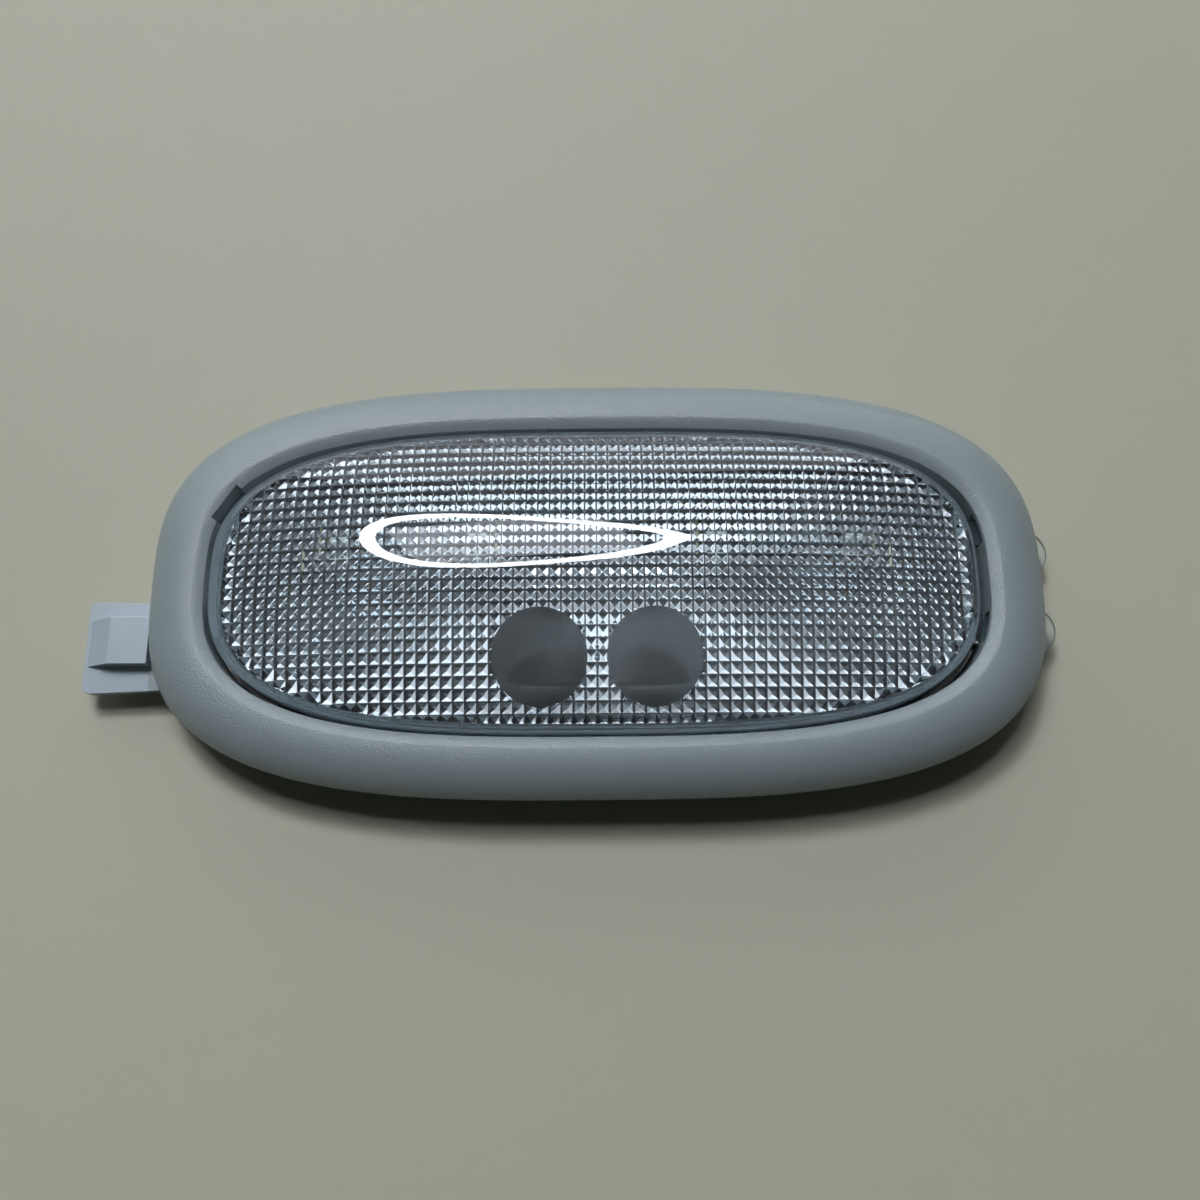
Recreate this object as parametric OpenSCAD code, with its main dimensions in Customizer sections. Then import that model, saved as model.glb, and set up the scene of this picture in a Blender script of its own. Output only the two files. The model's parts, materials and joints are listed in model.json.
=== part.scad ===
/* [Bezel] */
// Length of the bezel over its rim
bezel_l = 194.8; // [190:0.2:202]
// Width of the bezel over its rim
bezel_w = 94.2; // [91:0.2:99]
// Width of the rim at its two ends
rim_end_w = 13; // [11.5:0.1:14.5]
// Width of the rim along its two sides
rim_side_w = 12.4; // [11:0.1:14]
// Exponent of the oval that every outline follows
oval_n = 3.05; // [2.8:0.05:3.4]
// Height of the rim's seat above the back of the lamp
rim_z = 9.8; // [9.6:0.1:11]
// Height of the rounded crest above the rim's seat
crest_h = 6.8; // [6.4:0.1:7.6]
// Wall of the rim
rim_t = 2.2; // [1.8:0.1:2.6]
// Wall of the skirt that goes down into the roof
skirt_t = 1.8; // [1.5:0.1:2.2]
// Length of the notch for the blade that pries the lens out
notch_l = 9.6; // [7:0.2:12]
// Depth of that notch into the crest
notch_d = 2.2; // [1.5:0.1:3]
// Angle of the notch round the oval, from the length axis
notch_at = 160; // [152:1:166]

/* [Latch tongue] */
// Reach of the spring tongue beyond the rim
tongue_reach = 15; // [12:0.5:18]
// Width of the tongue
tongue_w = 20.8; // [16:0.2:24]
// Sideways place of the tongue's middle
tongue_y = -12.4; // [-16:0.2:-8]
// Thickness of the tongue
tongue_t = 1.6; // [1.4:0.1:2]
// Height of the tongue's underside above the back
tongue_z = 4.4; // [4:0.1:5]
// Width of the wedge on the tongue
wedge_w = 10; // [7:0.5:13]
// Height of the wedge
wedge_h = 3; // [2:0.1:3.2]
// Length of the wedge's ramp
ramp_l = 6; // [4:0.5:8]
// Distance of the wedge from the tongue's tip
wedge_in = 0.8; // [0.5:0.1:1.5]
// Sideways place of the wedge from the tongue's middle
wedge_side = 6.2; // [5:0.2:7]
// Radius of the tongue's corners
tongue_corner = 2; // [1:0.1:3]

/* [Lens] */
// Gap between the lens and the bezel at the two ends
gap_end = 2.2; // [1.6:0.1:2.6]
// Gap between the lens and the bezel along the two sides
gap_side = 0.7; // [0.4:0.1:1]
// Height of the field's edge above the back
field_z = 18; // [17.6:0.1:18.6]
// Rise of the crown above the field's edge
crown_h = 7; // [5:0.1:9]
// Wall of the lens
lens_t = 2.2; // [1.8:0.1:2.6]
// Pitch of the prisms
prism_p = 2.5; // [2.5:0.1:4]
// Depth of the prisms
prism_d = 0.9; // [0.5:0.05:1.1]
// Width of the clear shoulder round the field
shoulder = 2.2; // [1.8:0.05:2.3]
// Wall of the lens skirt
lens_skirt_t = 1.6; // [1.2:0.1:1.8]
// Radius of each smooth window
window_r = 10; // [7:0.25:11]
// Distance of each window from the middle, along the lens
window_x = 12; // [11.8:0.1:15]
// Distance of the windows' centres from the near edge of the field
window_in = 13.1; // [12.6:0.1:16]
// Width of each hinge arm
arm_w = 6; // [5:0.5:8]
// Distance of each hinge arm from the middle
arm_y = 11; // [10:0.5:13]
// Thickness of a hinge arm
arm_t = 1.6; // [1.3:0.1:1.8]
// Radius of the hinge trunnions
trunnion_r = 1.2; // [1:0.05:1.4]
// Length of a trunnion beside its arm
trunnion_l = 1.6; // [1.2:0.1:2]
// Distance of the hinge axis beyond the opening
pivot_out = 3.1; // [3:0.1:3.4]
// Height of the hinge axis above the back
pivot_z = 10.6; // [10.4:0.1:10.8]
// Width of the snap catch
catch_w = 9; // [6:0.5:12]
// Height of the snap catch
catch_h = 1.4; // [1:0.1:1.8]

/* [Housing] */
// Thickness of the housing's floor
floor_t = 1.6; // [1.4:0.1:2]
// Wall of the housing
pan_t = 1.6; // [1.4:0.1:2]
// Height of the housing's wall above the back
pan_h = 7.6; // [7.2:0.1:7.8]
// Reach of the two ears beyond the rim
ear_reach = 3.7; // [2.5:0.1:5]
// Width of each ear
ear_w = 11.4; // [9:0.2:13]
// Sideways place of the far ear
ear_far_y = 7.9; // [7:0.1:9]
// Sideways place of the near ear
ear_near_y = -10; // [-11:0.1:-8]
// Thickness of an ear
ear_t = 1.6; // [1.2:0.1:1.8]
// Height of an ear's underside above the back
ear_z = 4; // [3.8:0.1:4.2]
// Width of the connector socket
socket_w = 18; // [14:0.5:22]
// Height of the connector socket
socket_h = 5.8; // [5:0.1:6.2]
// Depth of the connector socket
socket_d = 8.2; // [7:0.2:8.2]
// Wall of the connector socket
socket_t = 1.2; // [1:0.1:1.4]

/* [Reflector] */
// Wall of the reflector
reflector_t = 0.8; // [0.6:0.1:0.9]
// Run of the reflector's sloped wall at the two ends
dish_end_run = 18.2; // [15:0.1:22]
// Run of the reflector's sloped wall along the two sides
dish_side_run = 9; // [7:0.1:12]
// Height of the reflector's underside above the back
dish_z = 3.2; // [3.1:0.05:3.5]

/* [Bulbs] */
// Overall length of a bulb
bulb_l = 41; // [38:0.5:44]
// Radius of a bulb's glass
glass_r = 5.2; // [4.5:0.1:5.4]
// Wall of the glass
glass_t = 0.6; // [0.4:0.05:0.9]
// Radius of a bulb's end cap
cap_r = 3.5; // [3.2:0.1:4]
// Length of an end cap's straight side
cap_l = 4.5; // [3.5:0.1:5.5]
// Distance of each bulb's middle from the end of the housing
bulb_inset = 43.1; // [42:0.1:46]
// Distance of the bulbs from the middle, across the lamp
bulb_y = 5; // [3:0.25:7]
// Height of a bulb's axis above the back
bulb_z = 9.6; // [9.5:0.05:9.9]

/* [Contacts and fixings] */
// Thickness of the contact strips
strip_t = 0.5; // [0.4:0.05:0.6]
// Width of the contact strips
strip_w = 6; // [5:0.25:7]
// Distance of the contact strips from the bulbs' axis, to either side
strip_away = 9; // [8.6:0.1:9.4]
// Width of the two terminals
terminal_w = 3; // [2.4:0.1:3.6]
// Distance of the terminals from the middle
terminal_out = 4.5; // [3.5:0.1:6]
// Thickness of a contact clip
clip_t = 0.5; // [0.4:0.05:0.6]
// Width of a contact clip
clip_w = 8; // [7:0.25:9]
// Height of a clip above its bulb's axis
clip_rise = 3.6; // [3:0.1:4]
// Length of a clip's foot
foot_l = 7; // [6.5:0.1:8]
// Width of a clip's foot
foot_w = 5.6; // [5:0.1:6]
// Width of the neck between a clip's blade and its foot
neck_w = 2.4; // [2:0.1:3]
// Radius of the rivets
rivet_r = 1.2; // [1:0.05:1.4]
// Width of a rivet's head round its shank
rivet_lip = 0.9; // [0.6:0.05:1.1]
// Radius of the screws' shanks
screw_r = 1.45; // [1.2:0.05:1.6]
// Radius of the screws' heads
head_r = 2.7; // [2.4:0.05:2.9]
// Height of the screws' heads
head_h = 1.5; // [1.2:0.05:1.7]
// Length of the screws below their heads
screw_l = 7.7; // [7:0.1:8]
// Height of the screws' seat above the back
seat_z = 1.9; // [1.8:0.05:2]
// Distance of the screws from the ends of the opening
screw_inset = 28.4; // [24:0.2:36]

/* [Hidden] */

// Gap between mouldings that slip into one another
slip = 0.3;
// Running gap of a pin in its hole, and of a screw or rivet in its own
run = 0.05;
// Rise of the hinge windows above the axis, for the arms to swing
arm_swing = 3.7;
// Small overlap that joins shapes of one moulding
join = 0.4;
ring_points = 112;
pan_points = 96;

opening_l = bezel_l - 2 * rim_end_w;
opening_w = bezel_w - 2 * rim_side_w;
crest_z = rim_z + crest_h;
skirt_z = floor_t + 1.8;
skirt_share = 1 - skirt_t / rim_end_w;
screw_x = opening_l / 2 - screw_inset;
pivot_x = opening_l / 2 + pivot_out;
flange_z = pan_h + reflector_t;
lens_foot_z = flange_z + slip;
lug_z = skirt_z - 0.2;

// Point of an oval with half axes a and b at parameter angle t
function oval_point(a, b, t) =
    [a * sign(cos(t)) * pow(abs(cos(t)), 2 / oval_n), b * sign(sin(t)) * pow(abs(sin(t)), 2 / oval_n)];
function oval(a, b, count) = [for (i = [0:count - 1]) oval_point(a, b, 360 * i / count)];
function oval_y(x, a, b) = b * pow(max(0, 1 - pow(abs(x) / a, oval_n)), 1 / oval_n);
function mix(a, b, share) = a + (b - a) * share;

// Closed ring of any section: each row of rows is one oval of points at one height
module ring_loft(rows) {
    count = len(rows[0]);
    total = len(rows);
    faces = [
        for (k = [0:total - 1], i = [0:count - 1])
            let (m = (k + 1) % total, j = (i + 1) % count, here = k * count, next = m * count)
                each [[here + i, next + i, next + j], [here + i, next + j, here + j]]
    ];
    polyhedron(points = [for (row = rows) each row], faces = faces, convexity = 10);
}

/* [Bezel section] */
// Section of the rim as [share of the rim's width from its edge, height]
function rim_section() = let (edge_z = rim_z + 0.9, rise = crest_z - edge_z, drop = rim_t / rim_end_w) [
    [0, rim_z],
    [0, edge_z],
    for (s = [0.03, 0.1, 0.22, 0.4, 0.62, 0.86]) [s, edge_z + rise * sin(90 * pow(s / 0.86, 0.62))],
    [0.93, crest_z - 0.3],
    [0.98, crest_z - 1],
    [1, crest_z - 2],
    [1, skirt_z],
    [skirt_share, skirt_z],
    [skirt_share, crest_z - rim_t - 0.3],
    for (s = [0.62, 0.4, 0.22]) [s, edge_z + rise * sin(90 * pow(s / 0.86, 0.62)) - rim_t],
    [drop * 0.75, rim_z + 0.9],
    [drop * 0.75, rim_z]
];

module rim_shell() {
    ring_loft([
        for (p = rim_section())
            let (
                a = mix(bezel_l, opening_l, p[0]) / 2,
                b = mix(bezel_w, opening_w, p[0]) / 2
            )
            [for (q = oval(a, b, ring_points)) [q[0], q[1], p[1]]]
    ]);
}

// Spring tongue with its rounded end and its wedge
module tongue() {
    tip_x = -bezel_l / 2 - tongue_reach;
    root_x = -opening_l / 2 - skirt_t / 2;
    corner = tongue_corner;
    sink = 0.2;
    wedge_l = tongue_reach - wedge_in - slip;
    wedge_top = wedge_h + sink;
    translate([0, tongue_y, tongue_z])
        linear_extrude(tongue_t)
            union() {
                translate([tip_x + corner, -tongue_w / 2]) square([root_x - tip_x - corner, tongue_w]);
                translate([tip_x, -tongue_w / 2 + corner]) square([corner * 2, tongue_w - corner * 2]);
                for (s = [-1, 1])
                    translate([tip_x + corner, s * (tongue_w / 2 - corner)]) circle(corner, $fn = 48);
            }
    translate([tip_x + wedge_in, tongue_y + wedge_side, tongue_z + tongue_t - sink])
        rotate([90, 0, 0])
            linear_extrude(wedge_w)
                polygon([[0, 0], [ramp_l, wedge_top], [wedge_l, wedge_top], [wedge_l, 0]]);
}

// Pairs of cheeks behind the skirt that hold the lens trunnions
module hinge_cheeks() {
    cheek_t = 1.8;
    reach = trunnion_r + 1.4;
    for (s = [-1, 1], e = [-1, 1]) {
        y = s * arm_y + e * (arm_w / 2 + slip + cheek_t / 2);
        root_x = oval_y(abs(y), opening_w / 2, opening_l / 2) + skirt_t / 2;
        translate([pivot_x, y + cheek_t / 2, pivot_z])
            rotate([90, 0, 0])
                linear_extrude(cheek_t)
                    difference() {
                        translate([root_x - pivot_x, -reach])
                            square([pivot_x - root_x + reach, reach + crest_z - rim_t - pivot_z - 0.4]);
                        circle(trunnion_r + run, $fn = 48);
                    }
    }
}

module screw_places() {
    for (sx = [-1, 1], sy = [-1, 1])
        translate([sx * screw_x, sy * (oval_y(screw_x, opening_l / 2, opening_w / 2) + skirt_t + 2.2), 0])
            children();
}

module bezel() {
    boss_r = 3.6;
    boss_h = crest_z - 4 - lug_z;
    ear_way_h = ear_z + ear_t + slip - skirt_z + 1;
    socket_way_h = socket_h + 2 * socket_t + slip - skirt_z + 1;
    color([0.57, 0.61, 0.63])
        difference() {
            union() {
                rim_shell();
                tongue();
                hinge_cheeks();
                screw_places() translate([0, 0, lug_z]) cylinder(r = boss_r, h = boss_h, $fn = 48);
            }
            screw_places() translate([0, 0, lug_z - 1]) cylinder(r = screw_r + run, h = 8, $fn = 48);
            // Windows in the skirt for the hinge arms
            for (s = [-1, 1])
                translate([opening_l / 2 - 5, s * arm_y - arm_w / 2 - slip, pivot_z - arm_t / 2 - 0.6])
                    cube([5 + skirt_t + 0.6, arm_w + 2 * slip, arm_t / 2 + 0.6 + arm_swing]);
            // Window in the skirt for the snap catch
            translate([-opening_l / 2 - skirt_t - 1, -catch_w / 2 - slip, lens_foot_z + 1.2 - slip])
                cube([skirt_t + 3, catch_w + 2 * slip, catch_h + 2 * slip]);
            // Ways through the skirt for the ears and the connector
            for (y = ear_at)
                translate([opening_l / 2 - 3, y - ear_w / 2 - slip, skirt_z - 1])
                    cube([skirt_t + 8, ear_w + 2 * slip, ear_way_h]);
            translate([-socket_w / 2 - socket_t - slip, opening_w / 2 - 2, skirt_z - 1])
                cube([socket_w + 2 * socket_t + 2 * slip, skirt_t + 3, socket_way_h]);
            // Pry notch in the crest
            pry_notch();
        }
}

module pry_notch() {
    place = oval_point(opening_l / 2, opening_w / 2, notch_at);
    ahead = oval_point(opening_l / 2, opening_w / 2, notch_at + 4);
    behind = oval_point(opening_l / 2, opening_w / 2, notch_at - 4);
    turn = atan2(ahead[1] - behind[1], ahead[0] - behind[0]);
    translate([place[0], place[1], crest_z - 5])
        rotate(turn)
            translate([-notch_l / 2, -notch_d, 0])
                cube([notch_l, 2 * notch_d, 8]);
}

/* [Lens surface] */
field_a = opening_l / 2 - gap_end - shoulder;
field_b = opening_w / 2 - gap_side - shoulder;
window_y = window_in - field_b;
// Smallest share of a cell's depth in the field that counts as inside
edge_limit = 0.000001;
// Height of the outer face: flat along the field's edge, crowned in the middle
function lens_z(p) =
    let (edge_y = oval_y(p[0], field_a, field_b))
        edge_y < 0.01 ? field_z
            : let (
                across = max(0, 1 - pow(p[1] / edge_y, 2)),
                along = max(0, 1 - pow(abs(p[0]) / field_a, 3))
            ) field_z + crown_h * across * along;
// Positive inside the prism field
function in_field(p) = 1 - edge_limit - pow(abs(p[0]) / field_a, oval_n) - pow(abs(p[1]) / field_b, oval_n);
// Positive inside a smooth window
function in_window(p) =
    1 - (pow(abs(p[0]) - window_x, 2) + pow(p[1] - window_y, 2)) / pow(window_r, 2);

// Where an edge of a prism cell crosses the edge of the field
function field_cross(p, q) =
    p[0] == q[0]
        ? [p[0], sign(p[1] + q[1]) * oval_y(p[0], field_a, field_b)]
        : [sign(p[0] + q[0]) * oval_y(p[1], field_b, field_a), p[1]];
// Where an edge of a prism cell crosses a window's circle
function window_cross(p, q) =
    p[0] == q[0]
        ? let (
            dy = sqrt(max(0, pow(window_r, 2) - pow(abs(p[0]) - window_x, 2))),
            high = window_y + dy
        ) [p[0], high >= min(p[1], q[1]) && high <= max(p[1], q[1]) ? high : window_y - dy]
        : let (
            side = sign(p[0] + q[0]),
            dx = sqrt(max(0, pow(window_r, 2) - pow(p[1] - window_y, 2))),
            far = side * (window_x + dx)
        ) [far >= min(p[0], q[0]) && far <= max(p[0], q[0]) ? far : side * (window_x - dx), p[1]];

function cell(i, j, size) = [[i, j], [i + size, j], [i + size, j + size], [i, j + size]] * prism_p;
function all_in(corners) = min([for (c = corners) in_field(c)]) > 0;
function any_in(corners) = max([for (c = corners) in_field(c)]) > 0;
// The part of a cell inside the field, and the parts outside and inside a window
function in_part(corners) = [
    for (k = [0:3])
        let (p = corners[k], q = corners[(k + 1) % 4], ip = in_field(p) > 0, iq = in_field(q) > 0)
            each concat(ip ? [p] : [], ip != iq ? [field_cross(p, q)] : [])
];
function window_part(corners, keep) = [
    for (k = [0:3])
        let (
            p = corners[k],
            q = corners[(k + 1) % 4],
            ip = keep * in_window(p) > 0,
            iq = keep * in_window(q) > 0
        )
            each concat(ip ? [p] : [], ip != iq ? [window_cross(p, q)] : [])
];
function middle(points) = [for (k = [0, 1]) sum([for (p = points) p[k]]) / len(points)];
function sum(v, i = 0) = i < len(v) ? v[i] + sum(v, i + 1) : 0;
function lift(p, down) = [p[0], p[1], lens_z(p) - down];

// Fan of triangles from a middle point, seen from above or from below
function fan(points, tip, down, below) = [
    for (k = [0:len(points) - 1])
        let (p = lift(points[k], down), q = lift(points[(k + 1) % len(points)], down))
            below ? [q, p, tip] : [p, q, tip]
];
function flat_fan(points, down) = [
    for (k = [1:len(points) - 2]) [lift(points[0], down), lift(points[k], down), lift(points[k + 1], down)]
];
// Tip of a prism: at the cell's centre, or lower down its flank where the cell is cut
function prism_tip(points, centre, whole) =
    whole
        ? [centre[0], centre[1], lens_z(centre) - lens_t - prism_d]
        : let (
            m = middle(points),
            share = 1 - max(abs(m[0] - centre[0]), abs(m[1] - centre[1])) / (prism_p / 2)
        ) [m[0], m[1], lens_z(m) - lens_t - prism_d * max(0, share)];

function prism_cell(corners) =
    let (
        centre = (corners[0] + corners[2]) / 2,
        hits = [for (c = corners) in_window(c) > 0 ? 1 : 0],
        full = all_in(corners)
    )
        !full ? let (part = in_part(corners), tip = prism_tip(part, centre, in_field(centre) > 0.02))
                fan(part, tip, lens_t, true)
            : sum(hits) == 0 ? fan(corners, prism_tip(corners, centre, true), lens_t, true)
            : sum(hits) == 4 ? [for (t = flat_fan(corners, lens_t)) [t[2], t[1], t[0]]]
            : let (outside = window_part(corners, -1), inside = window_part(corners, 1))
                concat(
                    fan(outside, prism_tip(outside, centre, in_window(centre) < -0.03), lens_t, true),
                    [for (t = flat_fan(inside, lens_t)) [t[2], t[1], t[0]]]
                );

// Outer face in squares of two cells, with a middle point where a finer neighbour meets it
function block_full(i, j) = all_in(cell(i, j, 2));
function top_block(i, j) =
    let (
        c = cell(i, j, 2),
        beside = [block_full(i, j - 2), block_full(i + 2, j), block_full(i, j + 2), block_full(i - 2, j)],
        points = [for (k = [0:3]) each concat([c[k]], beside[k] ? [] : [(c[k] + c[(k + 1) % 4]) / 2])],
        centre = (c[0] + c[2]) / 2
    )
        len(points) == 4 ? flat_fan(c, 0) : fan(points, lift(centre, 0), 0, false);
function top_cell(i, j) = let (c = cell(i, j, 1)) all_in(c) ? flat_fan(c, 0) : flat_fan(in_part(c), 0);

// Shoulder and skirt as [distance out from the field, height]
function skirt_section() = [
    [0.45 * shoulder, field_z - 0.4],
    [0.8 * shoulder, field_z - 1.4],
    [0.98 * shoulder, field_z - 2.8],
    [shoulder, lens_foot_z],
    [shoulder - lens_skirt_t, lens_foot_z],
    [shoulder - lens_skirt_t, field_z - lens_t - 1.2]
];
function outward(p) =
    let (
        g = [
            sign(p[0]) * pow(abs(p[0]) / field_a, oval_n - 1) / field_a,
            sign(p[1]) * pow(abs(p[1]) / field_b, oval_n - 1) / field_b
        ]
    ) g / norm(g);
function edge_rings(p) = let (n = outward(p)) concat(
    [lift(p, 0)],
    [for (s = skirt_section()) [p[0] + n[0] * s[0], p[1] + n[1] * s[0], s[1]]],
    [lift(p, lens_t)]
);
function skirt_strip(corners) =
    let (
        ends = [
            for (k = [0:3])
                let (p = corners[k], q = corners[(k + 1) % 4])
                    if ((in_field(p) > 0) != (in_field(q) > 0)) [in_field(p) > 0 ? 0 : 1, field_cross(p, q)]
        ],
        leave = ends[0][0] == 0 ? ends[0][1] : ends[1][1],
        enter = ends[0][0] == 0 ? ends[1][1] : ends[0][1],
        a = edge_rings(leave),
        b = edge_rings(enter)
    ) [for (k = [0:len(a) - 2]) each [[b[k], a[k], a[k + 1]], [b[k], a[k + 1], b[k + 1]]]];

function lens_triangles() =
    let (
        nx = 2 * ceil(field_a / prism_p / 2),
        ny = 2 * ceil(field_b / prism_p / 2),
        cells = [for (i = [-nx:nx - 1], j = [-ny:ny - 1]) if (any_in(cell(i, j, 1))) [i, j]]
    )
        concat(
            [for (c = cells) each prism_cell(cell(c[0], c[1], 1))],
            [for (i = [-nx:2:nx - 2], j = [-ny:2:ny - 2]) if (block_full(i, j)) each top_block(i, j)],
            [
                for (c = cells)
                    if (!block_full(2 * floor(c[0] / 2), 2 * floor(c[1] / 2))) each top_cell(c[0], c[1])
            ],
            [for (c = cells) if (!all_in(cell(c[0], c[1], 1))) each skirt_strip(cell(c[0], c[1], 1))]
        );

module lens_shell() {
    triangles = lens_triangles();
    polyhedron(
        points = [for (t = triangles) each t],
        faces = [for (k = [0:len(triangles) - 1]) [3 * k + 2, 3 * k + 1, 3 * k]],
        convexity = 10
    );
}

module lens() {
    skirt_x = field_a + shoulder;
    catch_out = lens_skirt_t / 2 + 2.9;
    arm_x = oval_y(arm_y + arm_w / 2, field_b, field_a) + shoulder - lens_skirt_t / 2;
    color([0.86, 0.9, 0.93, 0.45])
        union() {
            lens_shell();
            for (s = [-1, 1]) {
                translate([arm_x, s * arm_y - arm_w / 2, pivot_z - arm_t / 2])
                    cube([pivot_x - arm_x, arm_w, arm_t]);
                translate([pivot_x, s * arm_y + arm_w / 2 + trunnion_l, pivot_z])
                    rotate([90, 0, 0])
                        cylinder(r = trunnion_r, h = arm_w + 2 * trunnion_l, $fn = 48);
            }
            // Snap catch at the pried end
            translate([-skirt_x + lens_skirt_t / 2, catch_w / 2, lens_foot_z + 1.2])
                rotate([90, 0, 0])
                    linear_extrude(catch_w)
                        polygon([[0, 0], [0, catch_h], [0.3 - catch_out, catch_h], [-catch_out, 0.5]]);
        }
}

/* [Housing shapes] */
pan_a = opening_l / 2 - slip;
pan_b = opening_w / 2 - slip;
bulb_x = pan_a - bulb_inset;
// Distance of a clip's inner face from the middle of its bulb
clip_at = bulb_l / 2 - 1.6;
clip_x = [-bulb_x - clip_at, -bulb_x + clip_at, bulb_x - clip_at, bulb_x + clip_at];
// Side of each clip that faces its bulb
clip_side = [1, -1, 1, -1];
// The outer clips stand on the ground strip and the inner ones on the feed strip
ground_y = bulb_y - strip_away;
feed_y = bulb_y + strip_away;
foot_y = [ground_y, feed_y, feed_y, ground_y];
function rivet_at(k) = [clip_x[k] + clip_side[k] * foot_l / 2, foot_y[k]];
ear_at = [ear_far_y, ear_near_y];
pin_r = 1.2;
strip_pins = [
    [-bulb_x, ground_y], [bulb_x / 2, ground_y], [clip_x[1] / 2, feed_y], [clip_x[2] / 2, feed_y]
];
terminal_x = [-terminal_out, terminal_out];
terminal_z = socket_t + socket_h / 2 - strip_t / 2;
socket_mouth_y = pan_b + skirt_t + socket_d + 0.8;

module ear(y) {
    tip = bezel_l / 2 + ear_reach;
    round_r = ear_w / 2 - 0.2;
    root_x = oval_y(abs(y) + ear_w / 2, pan_b, pan_a) - pan_t;
    translate([0, y, ear_z])
        linear_extrude(ear_t)
            union() {
                translate([root_x, -ear_w / 2]) square([tip - round_r - root_x, ear_w]);
                translate([tip - round_r, 0]) circle(round_r, $fn = 64);
            }
}

module socket_shell() {
    back_y = pan_b - slip / 2;
    difference() {
        translate([-socket_w / 2 - socket_t, back_y, 0])
            cube([socket_w + 2 * socket_t, socket_mouth_y - back_y, socket_h + 2 * socket_t]);
        translate([-socket_w / 2, socket_mouth_y - socket_d, socket_t])
            cube([socket_w, socket_d + 1, socket_h]);
    }
}

module housing() {
    color([0.8, 0.86, 0.9, 0.4])
        difference() {
            union() {
                difference() {
                    linear_extrude(pan_h) polygon(oval(pan_a, pan_b, pan_points));
                    translate([0, 0, floor_t])
                        linear_extrude(pan_h) polygon(oval(pan_a - pan_t, pan_b - pan_t, pan_points));
                }
                for (y = ear_at) ear(y);
                socket_shell();
                screw_places() cylinder(r = 4.4, h = lug_z, $fn = 48);
                // Pins that locate the contact strips
                for (p = strip_pins)
                    translate([p[0], p[1], floor_t - join])
                        cylinder(r = pin_r, h = join + strip_t + 0.4, $fn = 48);
            }
            screw_places() {
                translate([0, 0, -1]) cylinder(r = screw_r + 0.2, h = lug_z + 2, $fn = 48);
                translate([0, 0, -1]) cylinder(r = head_r + 0.2, h = seat_z + 1, $fn = 48);
            }
            // Room for the rivets' lower heads
            for (k = [0:3])
                translate([rivet_at(k)[0], rivet_at(k)[1], floor_t - 0.5])
                    cylinder(r = rivet_r + rivet_lip + 0.2, h = 2, $fn = 48);
            // Ways for the two terminals into the socket
            for (x = terminal_x)
                translate([x - terminal_w / 2 - run, pan_b - pan_t - 1, terminal_z - run])
                    cube([terminal_w + 2 * run, skirt_t + 4, strip_t + 2 * run]);
        }
}

/* [Reflector shape] */
// Solid between a stack of ovals, closed by its first and last
module stack_loft(rows) {
    count = len(rows[0]);
    total = len(rows);
    sides = [
        for (k = [0:total - 2], i = [0:count - 1])
            let (j = (i + 1) % count)
                each [
                    [k * count + i, (k + 1) * count + j, k * count + j],
                    [k * count + i, (k + 1) * count + i, (k + 1) * count + j]
                ]
    ];
    ends = [[for (i = [0:count - 1]) i], [for (i = [0:count - 1]) total * count - 1 - i]];
    polyhedron(points = [for (row = rows) each row], faces = concat(ends, sides), convexity = 6);
}

module reflector() {
    inner_a = pan_a - pan_t - slip;
    inner_b = pan_b - pan_t - slip;
    floor_a = inner_a - dish_end_run;
    floor_b = inner_b - dish_side_run;
    lean = 0.9;
    rows = [
        [floor_a, floor_b, dish_z],
        [inner_a, inner_b, pan_h],
        [pan_a - 0.2, pan_b - 0.2, pan_h],
        [pan_a - 0.2, pan_b - 0.2, flange_z],
        [inner_a - lean, inner_b - lean, flange_z],
        [floor_a - lean / 2, floor_b - lean / 2, dish_z + reflector_t]
    ];
    color([0.78, 0.8, 0.82])
        difference() {
            stack_loft([for (r = rows) [for (q = oval(r[0], r[1], 72)) [q[0], q[1], r[2]]]]);
            // Slots that the clips stand up through
            for (k = [0:3])
                translate([clip_x[k] - clip_side[k] * clip_t / 2, bulb_y, dish_z + reflector_t / 2])
                    cube([clip_t + 1.2, clip_w + 1.2, reflector_t + 2], center = true);
        }
}

/* [Contact shapes] */
module strip_run(x0, x1, y0, y1) {
    translate([min(x0, x1), min(y0, y1)]) square([abs(x1 - x0), abs(y1 - y0)]);
}

// Terminal that steps up from the floor and goes through the wall into the socket
module terminal(x, from_y) {
    riser_y = pan_b - pan_t - 1.6;
    tip_y = socket_mouth_y - socket_d + 4;
    translate([x - terminal_w / 2, from_y, floor_t]) cube([terminal_w, riser_y - from_y, strip_t]);
    translate([x - terminal_w / 2, riser_y - strip_t, floor_t])
        cube([terminal_w, strip_t, terminal_z + strip_t - floor_t]);
    translate([x - terminal_w / 2, riser_y - strip_t, terminal_z])
        cube([terminal_w, tip_y - riser_y + strip_t, strip_t]);
}

module strip_holes(clips, pins) {
    hole_h = floor_t + 2 * strip_t;
    for (k = clips)
        translate([rivet_at(k)[0], rivet_at(k)[1], 0]) cylinder(r = rivet_r + run, h = hole_h, $fn = 48);
    for (k = pins)
        translate([strip_pins[k][0], strip_pins[k][1], 0]) cylinder(r = pin_r + run, h = hole_h, $fn = 48);
}

module feed_strip() {
    reach = rivet_at(2)[0] + strip_w / 2;
    color([0.78, 0.68, 0.42])
        difference() {
            union() {
                translate([0, 0, floor_t]) linear_extrude(strip_t)
                    strip_run(-reach, reach, feed_y - strip_w / 2, feed_y + strip_w / 2);
                terminal(terminal_x[0], feed_y);
            }
            strip_holes([1, 2], [2, 3]);
        }
}

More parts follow.
